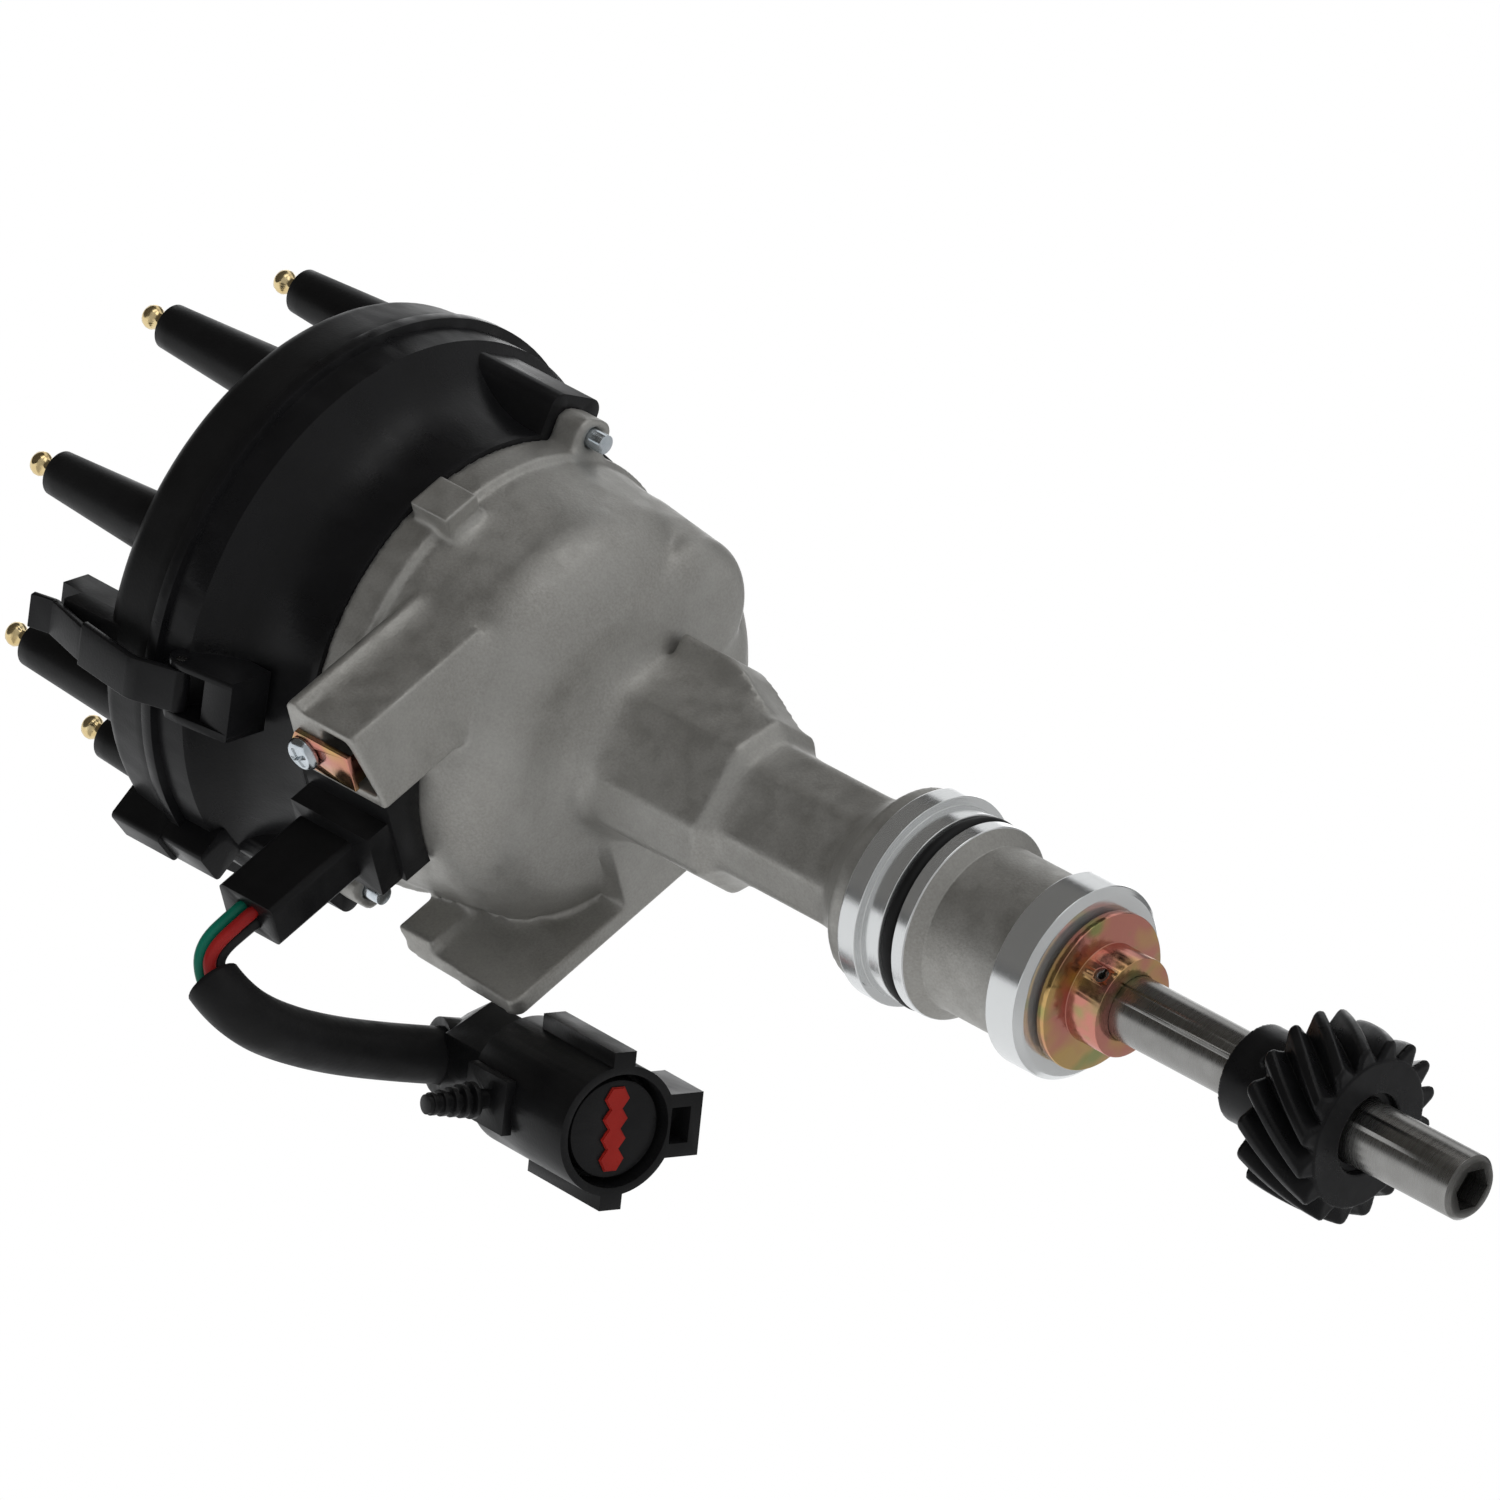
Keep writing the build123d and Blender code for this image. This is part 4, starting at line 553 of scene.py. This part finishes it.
def add_rod_screw():
    """The octane rod's screw with a domed head and a cross recess."""
    low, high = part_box("octane_screw")
    dome_radius, dome_start = PAN_HEAD_OUTLINE[-1]
    dome = []
    for ring in range(1, DOME_RINGS + 1):
        share = ring / DOME_RINGS
        dome.append((dome_radius * (1 - share), dome_start + DOME_RISE * math.sin(math.pi / 2 * share)))
    shape = lathe(PAN_HEAD_OUTLINE + dome, HEAD_SEGMENTS)
    for vertex in shape.verts:
        in_arm = min(abs(vertex.co.x), abs(vertex.co.y)) < RECESS_HALF_WIDTH
        if vertex.co.z > RECESS_START and in_arm and vertex.co.xy.length < RECESS_REACH:
            vertex.co.z -= RECESS_DEPTH
    middle = (low + high) / 2
    place = Matrix.Translation((middle.x, low.y + HEAD_HEIGHT, middle.z))
    facing = Matrix.Rotation(math.radians(90), 4, "X") @ Matrix.Rotation(RECESS_TURN, 4, "Z")
    bmesh.ops.transform(shape, matrix=place @ facing, verts=shape.verts)
    return stand_for(add_mesh("rod_screw_head", shape), "octane_screw", "housing")


# Materials

SPECULAR_LEVEL = 0.2
NOISE_ROUGHNESS = 0.55
# Heights between which the housing is turned
SEAT_TOP = 5.3 * MM
BARREL_TOP = -11.1 * MM
LOWER_RING_TOP = -33.0 * MM
FINE_EDGE = 0.2 * MM
PLAIN_EDGE = 0.3 * MM
RUBBER_EDGE = 0.4 * MM
EDGE_WIDTHS = {"gear_steel": FINE_EDGE, "rubber": RUBBER_EDGE}
EDGE_ANGLE = math.radians(38)


class Look:
    """A principled material with helpers for its textures."""

    def __init__(self, name, color, metallic=0.0, roughness=0.5):
        self.material = bpy.data.materials.new(name)
        self.material.use_nodes = True
        self.tree = self.material.node_tree
        self.shader = self.tree.nodes["Principled BSDF"]
        self.shader.inputs["Base Color"].default_value = (*color, 1)
        self.shader.inputs["Metallic"].default_value = metallic
        self.shader.inputs["Roughness"].default_value = roughness
        self.shader.inputs["Specular IOR Level"].default_value = SPECULAR_LEVEL
        self.place = self.node("ShaderNodeTexCoord").outputs["Object"]
        self.last_bump = None

    def node(self, kind, **settings):
        """A new node with these settings."""
        made = self.tree.nodes.new(kind)
        for key, value in settings.items():
            setattr(made, key, value)
        return made

    def feed(self, socket, value):
        """Links a socket to another, or sets its value."""
        if isinstance(value, bpy.types.NodeSocket):
            self.tree.links.new(value, socket)
        else:
            socket.default_value = value

    def stretched(self, factors):
        """The place on the object, scaled by these factors."""
        mapping = self.node("ShaderNodeMapping")
        self.feed(mapping.inputs["Vector"], self.place)
        mapping.inputs["Scale"].default_value = factors
        return mapping.outputs["Vector"]

    def noise(self, size, detail=3.0, factors=None):
        """A noise whose features are about this size in metres."""
        made = self.node("ShaderNodeTexNoise")
        self.feed(made.inputs["Vector"], self.stretched(factors) if factors else self.place)
        made.inputs["Scale"].default_value = 1 / size
        made.inputs["Detail"].default_value = detail
        made.inputs["Roughness"].default_value = NOISE_ROUGHNESS
        return made.outputs["Fac"]

    def spread(self, value, low, high, from_low=0.35, from_high=0.65):
        """Maps a factor to a range."""
        made = self.node("ShaderNodeMapRange")
        self.feed(made.inputs["Value"], value)
        made.inputs["From Min"].default_value = from_low
        made.inputs["From Max"].default_value = from_high
        made.inputs["To Min"].default_value = low
        made.inputs["To Max"].default_value = high
        return made.outputs["Result"]

    def math(self, operation, first, second, clamp=False):
        """One step of arithmetic on factors."""
        made = self.node("ShaderNodeMath", operation=operation, use_clamp=clamp)
        self.feed(made.inputs[0], first)
        self.feed(made.inputs[1], second)
        return made.outputs["Value"]

    def mix(self, factor, first, second):
        """A colour between two colours."""
        made = self.node("ShaderNodeMix", data_type="RGBA")
        self.feed(made.inputs["Factor"], factor)
        for socket, value in ((made.inputs["A"], first), (made.inputs["B"], second)):
            if isinstance(value, tuple):
                value = (*value, 1)
            self.feed(socket, value)
        return made.outputs["Result"]

    def axis(self, name):
        """The place along one axis, in metres."""
        made = self.node("ShaderNodeSeparateXYZ")
        self.feed(made.inputs["Vector"], self.place)
        return made.outputs[name]

    def color(self, value):
        """Links the shader's colour."""
        self.feed(self.shader.inputs["Base Color"], value)

    def roughness(self, value):
        """Links the shader's roughness."""
        self.feed(self.shader.inputs["Roughness"], value)

    def bump(self, height, depth):
        """Raises the surface by this height texture, to this depth in metres."""
        made = self.node("ShaderNodeBump")
        self.feed(made.inputs["Height"], height)
        made.inputs["Distance"].default_value = depth
        if self.last_bump:
            self.feed(made.inputs["Normal"], self.last_bump)
        self.last_bump = made.outputs["Normal"]
        self.feed(self.shader.inputs["Normal"], self.last_bump)


def moulded(name, dark, light, low, high, grain=0.0006, depth=0.00003):
    """Moulded plastic or rubber: faint clouding, handling marks and a fine skin."""
    look = Look(name, dark)
    look.color(look.mix(look.spread(look.noise(0.012), 0, 1), dark, light))
    smear = look.noise(0.006, 5, (1, 1, 0.35))
    look.roughness(look.spread(smear, low, high))
    look.bump(look.noise(grain, 2), depth)
    return look.material


def plated(name, dark, light, low, high):
    """Bare or plated metal with uneven tone and polish."""
    look = Look(name, dark, 1.0)
    look.color(look.mix(look.spread(look.noise(0.004, 4), 0, 1), dark, light))
    look.roughness(look.spread(look.noise(0.0022, 5), low, high))
    look.bump(look.noise(0.0004, 3), 0.00001)
    return look.material


def cast_material():
    """Die-cast alloy: a fine bright grain, and turned rings below the neck."""
    look = Look("casting", (0.36, 0.345, 0.325), 0.85, 0.45)
    clouds = look.spread(look.noise(0.018, 4), 0, 1)
    speckle = look.spread(look.noise(0.00055, 2), 0, 1, 0.3, 0.7)
    skin = look.mix(clouds, (0.31, 0.302, 0.283), (0.36, 0.354, 0.336))
    skin = look.mix(look.math("MULTIPLY", speckle, 0.45), skin, (0.46, 0.45, 0.425))
    height = look.axis("Z")
    below_seat = look.math("LESS_THAN", height, SEAT_TOP)
    above_barrel = look.math("GREATER_THAN", height, BARREL_TOP)
    lower_ring = look.math("LESS_THAN", height, LOWER_RING_TOP)
    turned = look.math("MULTIPLY", below_seat, look.math("ADD", above_barrel, lower_ring, True))
    look.color(look.mix(turned, skin, (0.70, 0.71, 0.71)))
    rough = look.spread(look.noise(0.005, 4), 0.42, 0.58)
    polish = look.spread(look.noise(0.0008, 3, (0.05, 0.05, 6)), 0.10, 0.22)
    blend = look.node("ShaderNodeMix", data_type="FLOAT")
    look.feed(blend.inputs["Factor"], turned)
    look.feed(blend.inputs["A"], rough)
    look.feed(blend.inputs["B"], polish)
    look.roughness(blend.outputs["Result"])
    cast_grain = look.math("MULTIPLY", look.noise(0.0006, 3), look.math("SUBTRACT", 1.0, turned))
    look.bump(cast_grain, 0.00006)
    lines = look.math("MULTIPLY", look.noise(0.0005, 2, (0.02, 0.02, 4)), turned)
    look.bump(lines, 0.000012)
    return look.material


def ground_steel():
    """Ground shaft steel with fine marks round it."""
    look = Look("ground_steel", (0.28, 0.275, 0.265), 1.0, 0.27)
    clouds = look.spread(look.noise(0.009, 3), 0, 1)
    look.color(look.mix(clouds, (0.25, 0.245, 0.235), (0.31, 0.305, 0.295)))
    look.roughness(look.spread(look.noise(0.0009, 3, (0.04, 0.04, 2)), 0.25, 0.30))
    look.bump(look.noise(0.0005, 2, (0.03, 0.03, 3)), 0.0000006)
    return look.material


def gear_oxide():
    """Black-oxide gear steel with a faint oily unevenness."""
    look = Look("gear_oxide", (0.006, 0.006, 0.0065), 0.2, 0.34)
    clouds = look.spread(look.noise(0.006, 4), 0, 1)
    look.color(look.mix(clouds, (0.005, 0.005, 0.0055), (0.009, 0.009, 0.0095)))
    look.roughness(look.spread(look.noise(0.004, 4), 0.26, 0.40))
    look.bump(look.noise(0.0009, 3), 0.000010)
    return look.material


def yellow_zinc(name, gold, rose, green, patch):
    """Iridescent yellow zinc: patches of gold, rose and green."""
    look = Look(name, gold, 1.0, 0.2)
    wander = look.noise(patch, 2)
    tint = look.mix(look.spread(wander, 0, 1, 0.40, 0.56), rose, gold)
    greener = look.spread(look.noise(patch * 0.8, 2, (1.3, 0.8, 1)), 0, 0.8, 0.56, 0.68)
    look.color(look.mix(greener, tint, green))
    look.roughness(look.spread(look.noise(0.0015, 4), 0.14, 0.26))
    look.bump(look.noise(0.0006, 3), 0.000004)
    return look.material


looks = {
    "casting": cast_material(),
    "bearing_bronze": plated("bronze", (0.42, 0.27, 0.14), (0.55, 0.36, 0.20), 0.3, 0.5),
    "shaft_steel": ground_steel(),
    "gear_steel": gear_oxide(),
    "yellow_zinc": yellow_zinc(
        "yellow_zinc", (0.58, 0.38, 0.15), (0.58, 0.24, 0.19), (0.28, 0.34, 0.12), 0.014
    ),
    "zinc_screw": plated("bright_zinc", (0.50, 0.56, 0.60), (0.68, 0.72, 0.76), 0.16, 0.30),
    "cap_plastic": moulded(
        "cap_plastic", (0.0045, 0.0045, 0.0048), (0.0070, 0.0070, 0.0073), 0.38, 0.50
    ),
    "adaptor_plastic": moulded(
        "adaptor_plastic", (0.0040, 0.0040, 0.0044), (0.0060, 0.0060, 0.0066), 0.26, 0.38
    ),
    "connector_plastic": moulded(
        "connector_plastic", (0.0035, 0.0035, 0.0038), (0.0055, 0.0055, 0.0058), 0.30, 0.44
    ),
    "brass": plated("brass", (0.72, 0.54, 0.26), (0.86, 0.70, 0.40), 0.14, 0.26),
    "rubber": moulded(
        "rubber", (0.0050, 0.0050, 0.0052), (0.0085, 0.0085, 0.0090), 0.46, 0.60, 0.0012, 0.00005
    ),
    "red_silicone": moulded("red_silicone", (0.28, 0.010, 0.006), (0.35, 0.016, 0.010), 0.45, 0.6),
    "carbon": moulded("carbon", (0.03, 0.03, 0.03), (0.05, 0.05, 0.05), 0.4, 0.6),
    "wire_green": moulded("green_vinyl", (0.004, 0.15, 0.095), (0.008, 0.20, 0.13), 0.28, 0.42),
    "wire_red": moulded("red_vinyl", (0.30, 0.012, 0.012), (0.38, 0.020, 0.018), 0.28, 0.42),
    "wire_black": moulded("black_vinyl", (0.010, 0.010, 0.010), (0.02, 0.02, 0.02), 0.28, 0.42),
}


def own_material(obj, material):
    """Gives every face of this object one material."""
    obj.data.materials.clear()
    obj.data.materials.append(material)


def soften(obj, width):
    """Rounds the sharp edges of a piece and shades the rest smoothly."""
    shade(obj.data, True)
    weld = obj.modifiers.new("weld", "WELD")
    weld.merge_threshold = WELD_DISTANCE
    bevel = obj.modifiers.new("rounded_edges", "BEVEL")
    bevel.width = width
    bevel.segments = 2
    bevel.limit_method = "ANGLE"
    bevel.angle_limit = EDGE_ANGLE
    bevel.harden_normals = True


for name, node in frame["nodes"].items():
    own_material(node, looks[slot_of[name]])
    soften(node, EDGE_WIDTHS.get(slot_of[name], PLAIN_EDGE))
dressed += [add_casting(), add_turned_end(), add_gear(), add_terminals(), add_rod_screw()]
for piece in dressed:
    own_material(piece, looks[piece["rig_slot"]])


# Light, floor and background

LIGHT_CENTRE = Vector((0, -0.01, 0.05))
FLOOR_HALF_WIDTH = 6.0
FLOOR_DROP = 0.5 * MM
FLOOR_COLOR = (0.82, 0.82, 0.82, 1)

# The studio's dark side: colours by how closely a direction follows it
DARK_SIDE = Vector((0.81, 0.03, 0.59)).normalized()
DARK_SIDE_STOPS = [
    (0.50, (0.92, 0.93, 0.94)),
    (0.55, (0.014, 0.013, 0.012)),
    (0.63, (0.020, 0.019, 0.017)),
    (0.70, (0.085, 0.080, 0.073)),
]
# The dim corner, where the strength falls from 1
DIM_CORNER = Vector((-0.40, 0.90, 0.03)).normalized()
DIM_START = 0.80
DIM_END = 0.93
DIM_STRENGTH = 0.10


def add_area(name, direction, distance, size, power):
    """A soft light that faces the part from this direction."""
    data = bpy.data.lights.new(name, "AREA")
    data.shape = "RECTANGLE"
    data.size, data.size_y = size
    data.energy = power
    light = bpy.data.objects.new(name, data)
    towards = Vector(direction).normalized()
    light.location = LIGHT_CENTRE + towards * distance
    light.rotation_euler = towards.to_track_quat("Z", "Y").to_euler()
    bpy.context.scene.collection.objects.link(light)
    return light


def seen_from(right, up, back):
    """A direction given by the photograph's axes."""
    return PHOTO_RIGHT * right + PHOTO_UP * up + PHOTO_BACK * back


lights = [
    add_area("key_light", seen_from(0.35, 0.9, 0.55), 1.3, (0.9, 0.9), 3.4),
    add_area("side_light", seen_from(1.0, 0.1, 0.35), 1.4, (0.5, 1.0), 1.2),
    add_area("front_light", seen_from(-0.5, -0.3, 1.0), 1.6, (0.9, 0.9), 0.8),
    add_area("rear_light", (-0.6, 0.7, 0.6), 1.5, (0.9, 0.9), 2.0),
    add_area("under_light", seen_from(0.05, -0.96, 0.25), 1.4, (0.5, 0.8), 3.0),
]


def add_node(tree, kind, values=(), **settings):
    """A node with these settings and input values."""
    made = tree.nodes.new(kind)
    for key, value in settings.items():
        setattr(made, key, value)
    for key, value in values:
        made.inputs[key].default_value = value
    return made


def choose_shader(tree, factor, first, second, output_kind):
    """Sends one of two shaders to the output, by a factor."""
    blend = add_node(tree, "ShaderNodeMixShader")
    output = add_node(tree, output_kind)
    tree.links.new(factor, blend.inputs["Fac"])
    tree.links.new(first, blend.inputs[1])
    tree.links.new(second, blend.inputs[2])
    tree.links.new(blend.outputs["Shader"], output.inputs["Surface"])


def floor_material():
    """Pale from above, and clear to the camera and to light from below."""
    material = bpy.data.materials.new("floor")
    material.use_nodes = True
    tree = material.node_tree
    tree.nodes.clear()
    pale = add_node(tree, "ShaderNodeBsdfDiffuse", [("Color", FLOOR_COLOR)])
    clear = add_node(tree, "ShaderNodeBsdfTransparent")
    side = add_node(tree, "ShaderNodeNewGeometry")
    path = add_node(tree, "ShaderNodeLightPath")
    either = add_node(tree, "ShaderNodeMath", operation="MAXIMUM")
    tree.links.new(side.outputs["Backfacing"], either.inputs[0])
    tree.links.new(path.outputs["Is Shadow Ray"], either.inputs[1])
    choose_shader(
        tree,
        either.outputs["Value"],
        pale.outputs["BSDF"],
        clear.outputs["BSDF"],
        "ShaderNodeOutputMaterial",
    )
    return material


def add_floor():
    """A floor just under the shaft's end."""
    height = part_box("drive_shaft")[0].z - FLOOR_DROP
    edge = FLOOR_HALF_WIDTH
    corners = [(-edge, -edge, height), (edge, -edge, height), (edge, edge, height), (-edge, edge, height)]
    mesh = bpy.data.meshes.new("floor")
    mesh.from_pydata(corners, [], [(0, 1, 2, 3)])
    mesh.materials.append(floor_material())
    floor = bpy.data.objects.new("floor", mesh)
    bpy.context.scene.collection.objects.link(floor)
    return floor


def set_world():
    """A white studio with one dark side and one dim corner, and plain white for the camera."""
    world = bpy.data.worlds.new("studio")
    bpy.context.scene.world = world
    world.use_nodes = True
    tree = world.node_tree
    tree.nodes.clear()
    place = add_node(tree, "ShaderNodeTexCoord")
    closeness = []
    for direction in (DARK_SIDE, DIM_CORNER):
        follows = add_node(tree, "ShaderNodeVectorMath", [(1, direction)], operation="DOT_PRODUCT")
        tree.links.new(place.outputs["Generated"], follows.inputs[0])
        closeness.append(follows.outputs["Value"])
    walls = add_node(tree, "ShaderNodeValToRGB")
    stops = walls.color_ramp.elements
    for index, (position, color) in enumerate(DARK_SIDE_STOPS):
        stop = stops[index] if index < 2 else stops.new(position)
        stop.position = position
        stop.color = (*color, 1)
    limits = [("From Min", DIM_START), ("From Max", DIM_END), ("To Min", 1.0), ("To Max", DIM_STRENGTH)]
    dimming = add_node(tree, "ShaderNodeMapRange", limits, interpolation_type="SMOOTHSTEP")
    studio = add_node(tree, "ShaderNodeBackground")
    seen = add_node(tree, "ShaderNodeBackground", [("Color", (1, 1, 1, 1))])
    path = add_node(tree, "ShaderNodeLightPath")
    tree.links.new(closeness[0], walls.inputs["Fac"])
    tree.links.new(closeness[1], dimming.inputs["Value"])
    tree.links.new(walls.outputs["Color"], studio.inputs["Color"])
    tree.links.new(dimming.outputs["Result"], studio.inputs["Strength"])
    choose_shader(
        tree,
        path.outputs["Is Camera Ray"],
        studio.outputs["Background"],
        seen.outputs["Background"],
        "ShaderNodeOutputWorld",
    )


add_floor()
set_world()
bpy.context.scene.view_settings.view_transform = "Standard"
